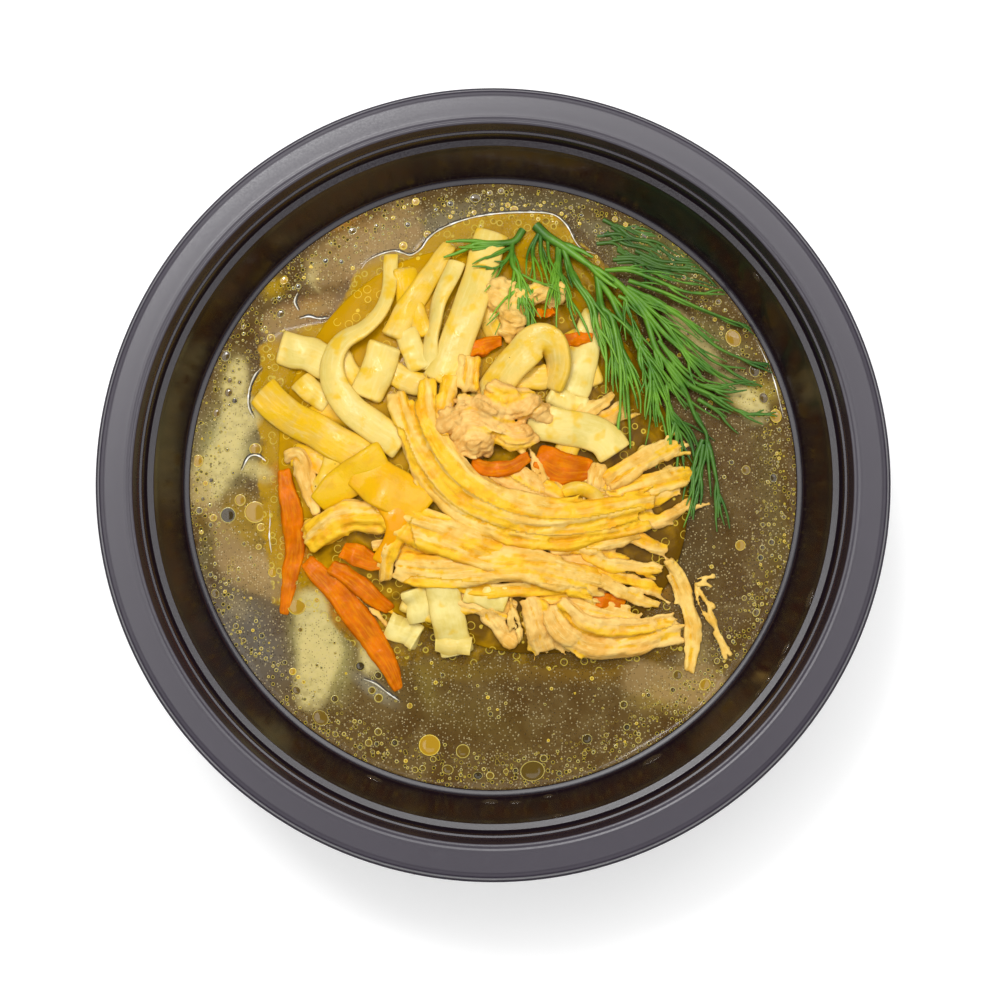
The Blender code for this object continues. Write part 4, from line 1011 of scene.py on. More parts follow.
def make_fat_edges():
    """The edges of the film, as fine raised lines painted as highlights, with a darker line of painted shade beside
    each.
    """
    parts = []
    for bright, aside, high, radius in ((1.0, 0.0, 0.24, 0.15), (0.0, 0.30, 0.10, 0.15)):
        curve = fibre_curve("fat_film_edges")
        for places in BRIGHT_EDGES:
            line = Route([(across, along, 0.0) for across, along in places], 10 * len(places))
            points = [Vector(line.at(share, -aside * MM)) for share in line.shares]
            for point in points:
                point.z = (LEVEL + high) * MM
            swells = [
                min(1.0, 6 * min(share, 1 - share)) * (0.72 + 0.28 * math.sin(0.55 * i + 2 * math.sin(0.21 * i)))
                for i, share in enumerate(line.shares)
            ]
            add_fibre(curve, points, [radius * (0.15 + swell) for swell in swells])
        work_on(curve)
        bpy.ops.object.convert(target="MESH")
        give(curve, "bright", np.full(len(curve.data.vertices), bright))
        parts.append(curve)
    edges = joined("fat_film_edges", parts)
    keep_inside(edges)
    smooth(edges)
    return edges


# Large drops of fat, seen as rings: (across, along, radius in millimetres).
FAT_RINGS = [
    (-0.06, 0.96, 1.1), (-0.47, 0.85, 0.9), (-0.74, 0.49, 0.8), (-0.89, 0.43, 1.1), (-0.92, 0.24, 0.9), (-0.98, 0.08, 1.2),
    (-0.79, 0.12, 1.1), (-0.88, -0.10, 1.5), (-0.84, -0.05, 1.1), (-0.79, -0.09, 2.0), (-0.77, -0.14, 0.8), (-0.73, -0.29, 0.9),
    (-0.92, -0.36, 0.9), (-0.65, -0.40, 1.7), (-0.65, -0.68, 0.9), (-0.57, -0.77, 1.6), (-0.44, -0.60, 0.9), (-0.38, -0.63, 0.8),
    (-0.21, -0.86, 2.0), (-0.10, -0.88, 1.3), (-0.15, -0.94, 1.1), (-0.05, -0.96, 0.9), (-0.01, -0.96, 0.8), (0.13, -0.945, 2.3),
    (0.70, -0.66, 1.2), (0.61, -0.63, 0.9), (0.80, 0.49, 1.7), (0.31, -0.84, 1.0), (0.87, 0.38, 1.2), (0.90, 0.29, 1.1),
    (0.53, 0.03, 1.6), (0.60, -0.10, 1.3), (0.84, 0.05, 0.9), (0.94, 0.23, 1.3), (0.82, -0.20, 1.0), (-0.30, 0.80, 0.8),
]

# Drops of broth on the ledge and the wall: (turn in degrees, radius in millimetres).
LEDGE_DROPS = [
    (-90.5, 58.6), (-86.0, 58.8), (-80.0, 58.5), (-79.0, 61.5), (-35.5, 61.4), (-32.0, 61.6), (-29.5, 61.2),
    (-38.5, 61.5), (-60.0, 58.7), (-20.0, 61.4), (-112.0, 58.6), (38.0, 61.3),
]


def fat_model(radius, sides):
    """A flat drop at the origin: a low rim round a middle that bulges a little."""
    bpy.ops.mesh.primitive_circle_add(vertices=sides, radius=radius * MM, fill_type="NGON")
    drop = added("fat_model")
    in_edit(
        drop,
        lambda: bpy.ops.mesh.extrude_region_move(TRANSFORM_OT_translate={"value": (0.0, 0.0, 0.05 * MM)}),
        lambda: bpy.ops.mesh.inset(thickness=0.07 * MM, depth=0.04 * MM),
        lambda: bpy.ops.mesh.inset(thickness=0.11 * MM, depth=-0.02 * MM),
        lambda: bpy.ops.mesh.inset(thickness=0.35 * radius * MM, depth=0.05 * radius * MM),
        lambda: bpy.ops.mesh.select_all(action="SELECT"),
        face_out,
    )
    inward = radius - 1000 * np.linalg.norm(corners(drop)[:, :2], axis=1)
    give(drop, "rim", np.select([inward < 0.03, inward < 0.12, inward < 0.25], [1.0, 0.72, 0.35], 0.0))
    return drop


def make_fat(rng):
    """Drops of fat on the broth: the large ones where they lie, and small ones crowding the wall."""
    drops = [(across, along, radius) for across, along, radius in FAT_RINGS]
    for _ in range(30000):
        if len(drops) == 620:
            break
        turn = rng.uniform(0.0, math.tau)
        by_wall = rng.random() < 0.62
        out = rng.uniform(0.90, 0.985) if by_wall else math.sqrt(rng.uniform(0.35, 0.93))
        across, along = out * math.cos(turn), out * math.sin(turn)
        radius = min(1.0, rng.lognormvariate(-1.15, 0.42))
        if heap_share(across, along) < 1.02 or out * SURFACE_RADIUS + radius > SURFACE_RADIUS - 0.2:
            continue
        room = min(math.hypot(a - across, b - along) * SURFACE_RADIUS - r for a, b, r in drops)
        if room > radius + 0.02:
            drops.append((across, along, radius))
    depths = film_depth(np.array([drop[:2] for drop in drops]))
    models = [(0.32, fat_model(0.32, 12)), (0.6, fat_model(0.6, 16)), (1.2, fat_model(1.2, 26)), (2.0, fat_model(2.0, 34))]
    parts = []
    for i, (across, along, radius) in enumerate(drops):
        size, model = min(models, key=lambda pair: abs(math.log(pair[0] / radius)))
        by_edge = (1 - math.hypot(across, along)) * SURFACE_RADIUS
        lift = 0.42 * math.exp(-by_edge / 0.9) + 0.22 * min(1.0, max(0.0, depths[i] / 0.03))
        lift += 0.5 * math.exp(-(((depths[i] - 0.09) / 0.06) ** 2))
        place = Vector((across * SURFACE_RADIUS, along * SURFACE_RADIUS, LEVEL + lift + 0.02)) * MM
        along_wall = Matrix.Rotation(math.atan2(along, across), 4, "Z")
        squeezed = 0.82 if math.hypot(across, along) > 0.9 and radius > 0.8 else rng.uniform(0.92, 1.05)
        stretch = Matrix.Diagonal((squeezed * radius / size, radius / size, 1.0, 1.0))
        obj = copy_of(model, f"fat_{i}", Matrix.Translation(place) @ along_wall @ stretch)
        shade = rng.uniform(0.6, 1.0) if depths[i] > -0.03 or rng.random() < 0.18 else rng.uniform(0.0, 0.3)
        give(obj, "shade", [shade] * len(obj.data.vertices))
        parts.append(obj)
    for _, model in models:
        bpy.data.objects.remove(model)
    fat = joined("fat_drops", parts)
    smooth(fat, math.radians(50))
    return fat


def make_ledge_drops(rng):
    """Drops of broth clinging to the stacking ledge and the wall at the front right."""
    bpy.ops.mesh.primitive_uv_sphere_add(segments=14, ring_count=8, radius=MM)
    model = added("ledge_drop")
    model.scale = (1.0, 1.0, 0.3)
    apply_place(model)
    parts = []
    for i, (turn, radius) in enumerate(LEDGE_DROPS):
        share = (radius - LEDGE_RADIUS - LEDGE_WIDTH) / (SEAT_RADIUS - LEDGE_RADIUS - LEDGE_WIDTH)
        z = LEVEL + LEDGE_RISE + max(0.0, share) * (SEAT_TOP - LEVEL - LEDGE_RISE)
        angle = math.radians(turn)
        size = rng.uniform(0.6, 1.1)
        lean = Matrix.Rotation(angle, 4, "Z") @ Matrix.Rotation(-1.15 if share > 0.05 else -0.3, 4, "Y")
        stretch = Matrix.Diagonal((size * 0.8, size * rng.uniform(1.2, 2.2), size * 1.6, 1.0))
        centre = Matrix.Translation(Vector((radius * math.cos(angle), radius * math.sin(angle), z)) * MM)
        parts.append(copy_of(model, f"ledge_{i}", centre @ lean @ stretch))
    bpy.data.objects.remove(model)
    drops = joined("ledge_drops", parts)
    smooth(drops)
    return drops


# ---------------------------------------------------------------- noodles and carrots

def guide(name, places, widths, tilts):
    """The line that a strip follows, with its width and tilt at each place."""
    bpy.ops.curve.primitive_bezier_curve_add()
    obj = added(name)
    obj.data.twist_mode = "Z_UP"
    obj.data.resolution_u = 24
    obj.data.use_radius = True
    obj.data.use_stretch = True
    obj.data.use_deform_bounds = True
    spline = obj.data.splines[0]
    spline.bezier_points.add(len(places) - 2)
    for knot, place, width, tilt in zip(spline.bezier_points, places, widths, tilts):
        knot.co = spot(*place)
        knot.handle_left_type = knot.handle_right_type = "AUTO"
        knot.radius = width
        knot.tilt = math.radians(tilt)
    return obj


def strip(name, width, thickness, places, widths, tilts, rng, ripple=0.5, edge=0.25, levels=1, crown=0.0):
    """A flat strip along its guide: a grid given thickness, rippled, rounded and laid in place."""
    length = Route(places).length
    bpy.ops.mesh.primitive_grid_add(
        x_subdivisions=max(8, round(length / (1.3 * MM))), y_subdivisions=5, size=1.0
    )
    obj = added(name)
    obj.scale = (length, width * MM, 1.0)
    apply_place(obj)
    co = corners(obj)
    run = co[:, 0] / length
    out = co[:, 1] / (0.5 * width * MM)
    sway = np.sin(run * rng.uniform(4, 9) + rng.uniform(0, 6)) + 0.4 * np.sin(run * rng.uniform(14, 22))
    co[:, 1] += np.abs(out) * sway * edge * 0.5 * MM
    co[:, 2] += crown * (1 - out**2) * MM
    co[:, 2] += ripple * 0.5 * np.sin(run * rng.uniform(5, 11) + rng.uniform(0, 6)) * out * MM
    co[:, 2] += ripple * 0.3 * np.sin(run * rng.uniform(9, 15) + rng.uniform(0, 6)) * MM
    set_corners(obj, co)
    # how near each point is to the strip's long edges; the noodle finish paints shade there
    give(obj, "edge", np.abs(out).clip(0.0, 1.0) ** 4)
    shift = rng.uniform(0, 60)
    for loop in obj.data.uv_layers.active.data:
        loop.uv = (loop.uv.x * length / MM + shift, loop.uv.y * width + shift)
    modifier(obj, "SOLIDIFY", thickness=thickness * MM, offset=0.0)
    modifier(obj, "BEVEL", width=0.36 * thickness * MM, segments=3, limit_method="ANGLE")
    line = guide(name + "_line", places, even(widths, len(places)), even(tilts, len(places)))
    modifier(obj, "CURVE", object=line, deform_axis="POS_X")
    if levels:
        modifier(obj, "SUBSURF", levels=levels, render_levels=levels)
    apply_modifiers(obj)
    bpy.data.objects.remove(line)
    return obj


def even(values, count):
    """These values spread over this many places."""
    return [float(x) for x in np.interp(np.linspace(0, 1, count), np.linspace(0, 1, len(values)), values)]


def soak_and_shade(obj):
    """How far each point lies in the broth or down in the heap, which darkens what lies there: wet with broth, and
    painted shade down in the heap.
    """
    co = corners(obj)
    places = co[:, :2] / (SURFACE_RADIUS * MM)
    above = co[:, 2] / MM - LEVEL
    cover = np.array([heap_height(x, y) for x, y in places])
    depth = np.maximum((cover * 0.8 - 0.2 - above) / 3.0, (0.25 - above) / 1.2)
    give(obj, "soaked_and_shaded", np.clip(depth, 0.0, 1.0))


def make_noodles(rng):
    """The ribbons that lie on top of the heap."""
    ribbons = []
    for i, (width, yellow, places, tilts, widths) in enumerate(NOODLES):
        ribbon = strip(f"ribbon_{i}", width, NOODLE_THICKNESS, places, widths, tilts, rng, ripple=0.8, edge=0.5, crown=0.6)
        give(ribbon, "yellow", np.full(len(ribbon.data.vertices), yellow))
        ribbons.append(ribbon)
    noodles = joined("noodle_ribbons", ribbons)
    soak_and_shade(noodles)
    smooth(noodles)
    return noodles


def make_under_noodles(rng):
    """Ribbons just under the top ones, half sunk in the fat between them."""
    ribbons = []
    for i, (width, yellow, places) in enumerate(UNDER_NOODLES):
        tilts = [rng.uniform(-18, 18) for _ in range(3)]
        ribbon = strip(f"under_{i}", width, NOODLE_THICKNESS, places, [1.0], tilts, rng, edge=0.5, crown=0.4)
        give(ribbon, "yellow", np.full(len(ribbon.data.vertices), yellow))
        ribbons.append(ribbon)
    noodles = joined("noodle_underlayer", ribbons)
    soak_and_shade(noodles)
    smooth(noodles)
    return noodles


def make_core():
    """The soaked middle of the heap, smaller than the heap, under the ribbons."""
    bpy.ops.mesh.primitive_uv_sphere_add(segments=96, ring_count=48, radius=1.0)
    core = added("noodle_core")
    co = corners(core)
    for i, (x, y, z) in enumerate(co):
        turn, share = math.atan2(y, x), math.hypot(x, y)
        reach = heap_reach(turn) * share * 0.95
        across, along = HEAP_CENTRE[0] + reach * math.cos(turn), HEAP_CENTRE[1] + reach * math.sin(turn)
        rise = heap_height(across, along) - 0.15 if z > 0 else 6.0 * z - 0.15
        co[i] = (across * SURFACE_RADIUS * MM, along * SURFACE_RADIUS * MM, (LEVEL + rise) * MM)
    set_corners(core, co)
    crumple(core, ("CLOUDS", 7.0, 0.6))
    give(core, "glow", glow(corners(core)[:, :2] / (SURFACE_RADIUS * MM)))
    smooth(core)
    return core


def make_carrot(node, rng):
    width, thickness, places = CARROTS[node]
    widths = [0.55, 0.95, 1.0, 0.8, 0.4] if len(places) > 3 else [0.7, 1.0, 0.6]
    name = node.replace("carrot_", "") + "_carrot_strip"
    tilts = [rng.uniform(-12, 12) for _ in range(3)]
    carrot = strip(name, width, thickness, places, widths, tilts, rng, ripple=0.7, edge=0.6, levels=2)
    crumple(carrot, ("CLOUDS", 2.6, 0.6), ("CLOUDS", 0.9, 0.12))
    soak_and_shade(carrot)
    smooth(carrot)
    return carrot


# ---------------------------------------------------------------- chicken

VOXEL = 0.30

STRAND = 1.25


def fibre_curve(name):
    bpy.ops.curve.primitive_bezier_curve_add()
    obj = added(name)
    obj.data.splines.clear()
    obj.data.dimensions = "3D"
    obj.data.bevel_depth = MM
    obj.data.bevel_resolution = 1
    obj.data.resolution_u = 3
    obj.data.use_fill_caps = True
    return obj


def add_fibre(curve, points, radii):
    spline = curve.data.splines.new("POLY")
    spline.points.add(len(points) - 1)
    for knot, point, radius in zip(spline.points, points, radii):
        knot.co = (*point, 1.0)
        knot.radius = radius


def bundle(curve, width, thickness, line, rng):
    """Strands lying side by side, that part and end unevenly, with thin tatters at the edges."""
    count = max(2, round(width / STRAND))
    steps = max(10, round(line.length / (1.2 * MM)))
    for i in range(count):
        across = 2 * (i + 0.5) / count - 1
        size = 0.5 * thickness * rng.uniform(0.40, 0.70)
        aside = across * (0.5 * width - 0.4 * size)
        high = (0.16 * rng.uniform(-0.6, 1.0) - 0.10 * abs(across)) * thickness
        first, last = rng.uniform(-0.04, 0.10), 1.0 - rng.uniform(-0.04, 0.16)
        sway, phase, turns = rng.uniform(0.1, 0.5), rng.uniform(0, math.tau), rng.uniform(0.8, 2.6)
        points, radii = [], []
        for step in range(steps + 1):
            share = first + (last - first) * step / steps
            wave = turns * share * math.pi + phase
            end = min(share - first, last - share) / (last - first)
            side = (aside + sway * math.sin(wave)) * MM
            points.append(line.at(share, side, (high + 0.5 * sway * math.cos(1.7 * wave)) * MM))
            radii.append(size * (1 + 0.22 * math.sin(2.3 * wave)) * min(1.0, 0.5 + 7.0 * end))
        add_fibre(curve, points, radii)
    for _ in range(round(line.length / MM / 7.0)):
        start, way = rng.uniform(0.0, 0.9), rng.choice((-1, 1))
        reach, spread = rng.uniform(3.0, 7.0) * MM / line.length, rng.uniform(0.3, 1.5)
        points, radii = [], []
        for step in range(7):
            share = start + reach * step / 6
            side = way * (0.40 * width + spread * (step / 6) ** 2)
            points.append(line.at(share, side * MM, (0.10 * thickness - 0.5 * spread * step / 6) * MM))
            radii.append(0.50 - 0.14 * step / 6)
        add_fibre(curve, points, radii)


def flakes(name, rows, rng):
    """Broad torn flakes with strands running along them, grown together and combed."""
    curve = fibre_curve(name)
    lines = [Route(places) for _, _, places in rows]
    for (width, thickness, _), line in zip(rows, lines):
        bundle(curve, width, thickness, line, rng)
    work_on(curve)
    bpy.ops.object.convert(target="MESH")
    members = [curve]
    for i, (width, thickness, places) in enumerate(rows):
        if width > 2.5:
            tilts = [rng.uniform(-9, 9) for _ in range(3)]
            widths = [0.80, 1.0, 1.0, 0.55]
            members.append(strip(
                f"{name}_{i}", 0.92 * width, 0.62 * thickness, places, widths, tilts, rng, ripple=0.6, edge=1.2
            ))
    obj = crumple(fused(name, members), ("CLOUDS", 3.4, 0.9), ("CLOUDS", 1.2, 0.3))
    comb(obj, read_grain(obj, [line.points for line in lines]), 0.28)
    return obj


def shreds(curve, centre, halves, turn_deg, rng):
    """Short curled shreds lying all over a torn lump."""
    middle = spot(*centre)
    turned_by = Matrix.Rotation(math.radians(turn_deg), 3, "Z")
    count = round(0.17 * (halves[0] * halves[1] + halves[1] * halves[2] + halves[0] * halves[2]))
    lie = rng.uniform(0, math.pi)
    for i in range(count):
        z = 1.0 - 1.35 * (i + 0.5) / count
        around = i * GOLDEN_TURN
        here = Vector((math.sqrt(1 - z * z) * math.cos(around), math.sqrt(1 - z * z) * math.sin(around), z))
        heading = Vector((math.cos(lie), math.sin(lie), 0.0)) + Vector([rng.uniform(-0.5, 0.5) for _ in range(3)])
        heading = (heading - heading.dot(here) * here).normalized()
        curl, size = rng.uniform(-0.14, 0.14), rng.uniform(0.40, 0.90)
        points, radii = [], []
        steps = rng.randint(6, 12)
        for step in range(steps):
            lift = 1.0 + 0.13 * math.sin(step * 0.7 + i)
            points.append(middle + turned_by @ Vector([h * p * lift for h, p in zip(halves, here)]) * MM)
            radii.append(size * min(1.0, 0.45 + 0.25 * min(step, steps - 1 - step)))
            here = (here + 0.16 * heading).normalized()
            heading = Matrix.Rotation(curl, 3, here) @ (heading - heading.dot(here) * here).normalized()
        add_fibre(curve, points, radii)


def fused(name, objects, voxel=VOXEL):
    """Overlapping shapes grown together into one skin."""
    obj = joined(name, objects)
    modifier(obj, "REMESH", mode="VOXEL", voxel_size=voxel * MM, use_smooth_shade=True)
    modifier(obj, "SMOOTH", factor=0.6, iterations=2)
    return apply_modifiers(obj)


def crumple(obj, *rounds):
    """Folds and dents, each round a (kind of texture, size, depth in millimetres)."""
    for kind, size, depth in rounds:
        folds = bpy.data.textures.new("folds", kind)
        folds.noise_scale = size * MM
        modifier(obj, "DISPLACE", texture=folds, texture_coords="LOCAL", strength=depth * MM, mid_level=0.5)
    return apply_modifiers(obj)


def read_grain(obj, lines):
    """Gives each point its place across, above and along the nearest line of the grain, in millimetres."""
    tree = KDTree(sum(len(points) for points in lines))
    rows = []
    for number, points in enumerate(lines):
        ahead = unit(np.gradient(points, axis=0))
        side = unit(np.cross(ahead, (0.0, 0.02, 1.0)))
        run = np.concatenate([[0.0], np.cumsum(np.linalg.norm(np.diff(points, axis=0), axis=1))])
        for i, point in enumerate(points):
            tree.insert(point, len(rows))
            rows.append((point, side[i], np.cross(side[i], ahead[i]), ahead[i], run[i], 7.3 * number))
    tree.balance()
    grain = []
    for vertex in corners(obj):
        point, side, up, ahead, run, shift = rows[tree.find(vertex)[1]]
        away = vertex - point
        grain.append((away @ side / MM + shift, away @ up / MM, (run + away @ ahead) / MM + 3.1 * shift))
    give(obj, "grain", grain)
    return np.array(grain)


def wind_grain(obj):
    """Gives each point its place across, above and along a grain that winds over a lump, in millimetres."""
    x, y, z = corners(obj).T / MM
    side = y + 1.3 * np.sin(x / 2.3) + 0.7 * np.sin(y / 1.7 + x / 3.1)
    grain = np.stack([side, z, x + 1.1 * np.sin(y / 2.2)], 1)
    give(obj, "grain", grain)
    return grain


def comb(obj, grain, depth):
    """Presses ridges that follow the grain into the mesh itself."""
    side = grain[:, 0] + 0.6 * grain[:, 1]
    drift = 0.30 * np.sin(grain[:, 2] / 4.3) + 0.2 * np.sin(grain[:, 2] / 2.1 + 1.0)
    wave = np.sin(math.tau * (side / 1.7 + drift)) + 0.6 * np.sin(math.tau * (side / 0.95 - 0.7 * drift))
    wave *= 0.60 + 0.40 * np.sin(0.9 * side + 0.35 * grain[:, 2])
    set_corners(obj, corners(obj) + normals_of(obj) * (0.5 * depth * MM * wave)[:, None])


def read_hollows(obj, full):
    """Gives each point how deep it lies between its neighbours: 0 on a ridge, 1 in a groove this deep."""
    pairs = np.empty(2 * len(obj.data.edges), int)
    obj.data.edges.foreach_get("vertices", pairs)
    a, b = pairs.reshape(-1, 2).T
    start = corners(obj)
    count = len(start)
    degree = np.bincount(a, minlength=count) + np.bincount(b, minlength=count)
    soft = start.copy()
    for _ in range(14):
        near = [np.bincount(a, soft[b, k], count) + np.bincount(b, soft[a, k], count) for k in range(3)]
        soft = 0.3 * soft + 0.7 * np.stack(near, 1) / degree[:, None]
    deep = ((soft - start) * normals_of(obj)).sum(1) / MM
    give(obj, "hollow", np.clip(deep / full, 0.0, 1.0))


def season(obj, oil, pink, full=0.17):
    read_hollows(obj, full)
    count = len(obj.data.vertices)
    give(obj, "oil", np.full(count, oil))
    give(obj, "pink", np.full(count, pink))
    soak_and_shade(obj)
    smooth(obj)
    return obj


def make_chicken(node, rng):
    (oil, pink), rows = CHICKENS[node]
    return season(flakes(node.replace("chicken_", "") + "_chicken_shreds", rows, rng), oil, pink)


def make_small_shreds(rng):
    return season(flakes("small_chicken_shreds", SMALL_SHREDS, rng), 0.5, 0.5)


def make_lump(node, rng):
    (oil, pink), rows = LUMPS[node]
    name = node.replace("chicken_", "") + "_chicken_lump"
    curve = fibre_curve(name)
    for row in rows:
        shreds(curve, *row, rng)
    work_on(curve)
    bpy.ops.object.convert(target="MESH")
    members = [curve]
    for centre, halves, turn_deg in rows:
        bpy.ops.mesh.primitive_ico_sphere_add(subdivisions=3, radius=MM, location=spot(*centre))
        heart = added(name + "_heart")
        heart.scale = [0.92 * h for h in halves]
        heart.rotation_euler.z = math.radians(turn_deg)
        apply_place(heart)
        members.append(heart)
    obj = fused(name, members)
    modifier(obj, "SMOOTH", factor=0.6, iterations=11)
    crumple(obj, ("CLOUDS", 4.4, 2.2), ("CLOUDS", 1.6, 0.9), ("CLOUDS", 0.7, 0.24))
    comb(obj, wind_grain(obj), 0.26)
    return season(obj, oil, pink, 0.60)

# Dill: each thread's thickness in millimetres, and the places that it passes, in radii.
DILL = {
    "dill_small": [
        (1.5, [(0.099, 0.850), (0.063, 0.807), (-0.041, 0.801), (-0.103, 0.784)]),
        (1.1, [(0.063, 0.807), (0.063, 0.732), (0.083, 0.693), (0.089, 0.641), (0.109, 0.582), (0.112, 0.516)]),
        (0.8, [(0.063, 0.788), (0.014, 0.768), (-0.022, 0.745)]),
        (0.8, [(0.060, 0.768), (0.027, 0.722), (-0.025, 0.709)]),
        (0.7, [(0.070, 0.709), (0.067, 0.676), (0.057, 0.654)]),
        (0.8, [(0.083, 0.663), (0.070, 0.634), (0.047, 0.608)]),
        (0.8, [(0.089, 0.634), (0.073, 0.608), (0.047, 0.592)]),
        (0.7, [(0.093, 0.624), (0.089, 0.601), (0.083, 0.575)]),
        (0.9, [(0.089, 0.676), (0.119, 0.641), (0.132, 0.582), (0.129, 0.536)]),
        (0.5, [(0.096, 0.693), (0.142, 0.667), (0.181, 0.654)]),
    ],
    "dill_large": [
        (2.0, [(0.142, 0.866), (0.181, 0.827), (0.230, 0.794), (0.295, 0.745), (0.341, 0.709), (0.397, 0.663)]),
        (1.1, [(0.230, 0.794), (0.253, 0.725), (0.272, 0.676), (0.325, 0.595), (0.344, 0.516), (0.370, 0.435), (0.370, 0.297)]),
        (1.0, [(0.220, 0.781), (0.220, 0.716), (0.233, 0.657), (0.256, 0.605), (0.272, 0.559)]),
        (0.9, [(0.214, 0.788), (0.210, 0.716), (0.197, 0.663), (0.197, 0.614)]),
        (0.8, [(0.155, 0.846), (0.132, 0.788), (0.132, 0.742), (0.142, 0.657)]),
        (0.8, [(0.158, 0.833), (0.158, 0.768), (0.168, 0.716), (0.184, 0.657)]),
        (0.7, [(0.181, 0.820), (0.187, 0.748), (0.220, 0.686)]),
        (1.2, [(0.341, 0.709), (0.351, 0.641), (0.361, 0.582), (0.387, 0.556), (0.406, 0.477), (0.419, 0.363), (0.416, 0.209)]),
        (1.3, [(0.351, 0.676), (0.390, 0.621), (0.423, 0.552), (0.462, 0.500), (0.521, 0.402), (0.553, 0.317), (0.586, 0.258), (0.602, 0.193), (0.609, 0.069), (0.586, -0.016)]),
        (1.1, [(0.397, 0.542), (0.429, 0.422), (0.442, 0.301), (0.449, 0.199), (0.452, 0.118)]),
        (1.0, [(0.364, 0.565), (0.390, 0.493), (0.406, 0.395), (0.429, 0.297), (0.436, 0.216)]),
        (1.3, [(0.370, 0.696), (0.423, 0.657), (0.498, 0.565), (0.537, 0.451), (0.583, 0.389), (0.632, 0.317), (0.671, 0.225), (0.707, 0.167), (0.704, 0.101), (0.687, 0.036), (0.674, -0.062)]),
        (1.0, [(0.694, 0.150), (0.668, 0.075), (0.661, -0.039)]),
        (1.0, [(0.707, 0.150), (0.720, 0.114), (0.736, 0.036), (0.753, -0.059)]),
        (0.9, [(0.697, 0.134), (0.678, 0.036), (0.638, -0.069)]),
        (0.8, [(0.599, 0.199), (0.586, 0.150), (0.576, 0.105)]),
        (0.8, [(0.599, 0.206), (0.619, 0.167), (0.629, 0.121)]),
        (0.9, [(0.517, 0.402), (0.517, 0.301), (0.501, 0.212)]),
        (0.9, [(0.527, 0.343), (0.537, 0.281), (0.547, 0.222)]),
        (1.1, [(0.397, 0.670), (0.472, 0.624), (0.547, 0.556), (0.645, 0.477), (0.743, 0.402), (0.838, 0.386)]),
        (1.0, [(0.547, 0.556), (0.619, 0.461), (0.687, 0.356), (0.753, 0.333)]),
        (1.0, [(0.482, 0.605), (0.573, 0.490), (0.671, 0.415), (0.763, 0.359), (0.812, 0.346), (0.874, 0.343)]),
        (1.0, [(0.442, 0.654), (0.547, 0.601), (0.645, 0.539), (0.727, 0.467), (0.802, 0.428), (0.910, 0.392)]),
        (0.9, [(0.370, 0.709), (0.449, 0.709), (0.531, 0.680), (0.645, 0.637), (0.769, 0.631)]),
        (0.9, [(0.449, 0.676), (0.563, 0.637), (0.678, 0.585), (0.792, 0.542), (0.867, 0.520)]),
        (0.9, [(0.514, 0.624), (0.629, 0.552), (0.694, 0.493), (0.750, 0.477)]),
        (1.0, [(0.593, 0.382), (0.651, 0.330), (0.727, 0.294), (0.802, 0.248), (0.851, 0.232), (0.897, 0.248)]),
        (0.9, [(0.678, 0.333), (0.727, 0.317), (0.785, 0.307), (0.841, 0.314)]),
        (0.9, [(0.547, 0.477), (0.612, 0.389), (0.687, 0.330), (0.782, 0.324)]),
        (0.8, [(0.416, 0.624), (0.439, 0.608), (0.442, 0.582), (0.452, 0.549)]),
        (0.9, [(0.462, 0.526), (0.495, 0.454), (0.547, 0.389), (0.612, 0.314), (0.678, 0.258), (0.750, 0.216)]),
        (0.9, [(0.488, 0.493), (0.482, 0.408), (0.501, 0.350), (0.482, 0.297)]),
        (0.9, [(0.573, 0.330), (0.586, 0.232), (0.645, 0.167), (0.668, 0.069), (0.651, -0.029)]),
        (0.8, [(0.351, 0.624), (0.370, 0.526), (0.390, 0.428), (0.390, 0.324)]),
        (0.9, [(0.410, 0.477), (0.455, 0.376), (0.482, 0.291), (0.485, 0.232)]),
        (0.9, [(0.678, 0.284), (0.730, 0.252), (0.769, 0.219)]),
        (0.8, [(0.433, 0.637), (0.514, 0.585), (0.586, 0.520), (0.678, 0.454), (0.776, 0.408)]),
    ],
}

# The stem that the large frond hangs from, which holds it up.
DILL_STEM = [(0.14, 0.87), (0.23, 0.79), (0.34, 0.71), (0.44, 0.60), (0.55, 0.48)]


def dill_lift(across, along):
    """How high dill lies above what is under it: held up near the stem, down at the tips and the root."""
    gap = min(math.hypot(across - a, along - b) for a, b in DILL_STEM)
    root = math.hypot(across - DILL_STEM[0][0], along - DILL_STEM[0][1])
    return 0.7 + 2.6 * math.exp(-((gap / 0.26) ** 2)) * min(1.0, root / 0.25)


def add_leaflets(curve, points, radius, floor, rng):
    """Short fine threads that leave a dill thread on both sides, as on the real leaf."""
    for i in range(2, len(points) - 2):
        if rng.random() > 0.13:
            continue
        heading = (points[i + 1] - points[i - 1]).normalized()
        side = heading.cross(Vector((0.0, 0.0, 1.0))) * rng.choice((-1, 1))
        length, turn = rng.uniform(3.0, 7.5) * MM, rng.uniform(0.20, 0.50)
        out = heading * math.cos(turn) + side * math.sin(turn)
        drawn = [points[i] + length * (s * out + 0.2 * s * s * (heading - side)) for s in (0.0, 0.35, 0.7, 1.0)]
        for point in drawn:
            point.z = max(point.z, floor * MM)
        add_fibre(curve, drawn, [radius, radius, 0.8 * radius, 0.4 * radius])


# ---------------------------------------------------------------- dill

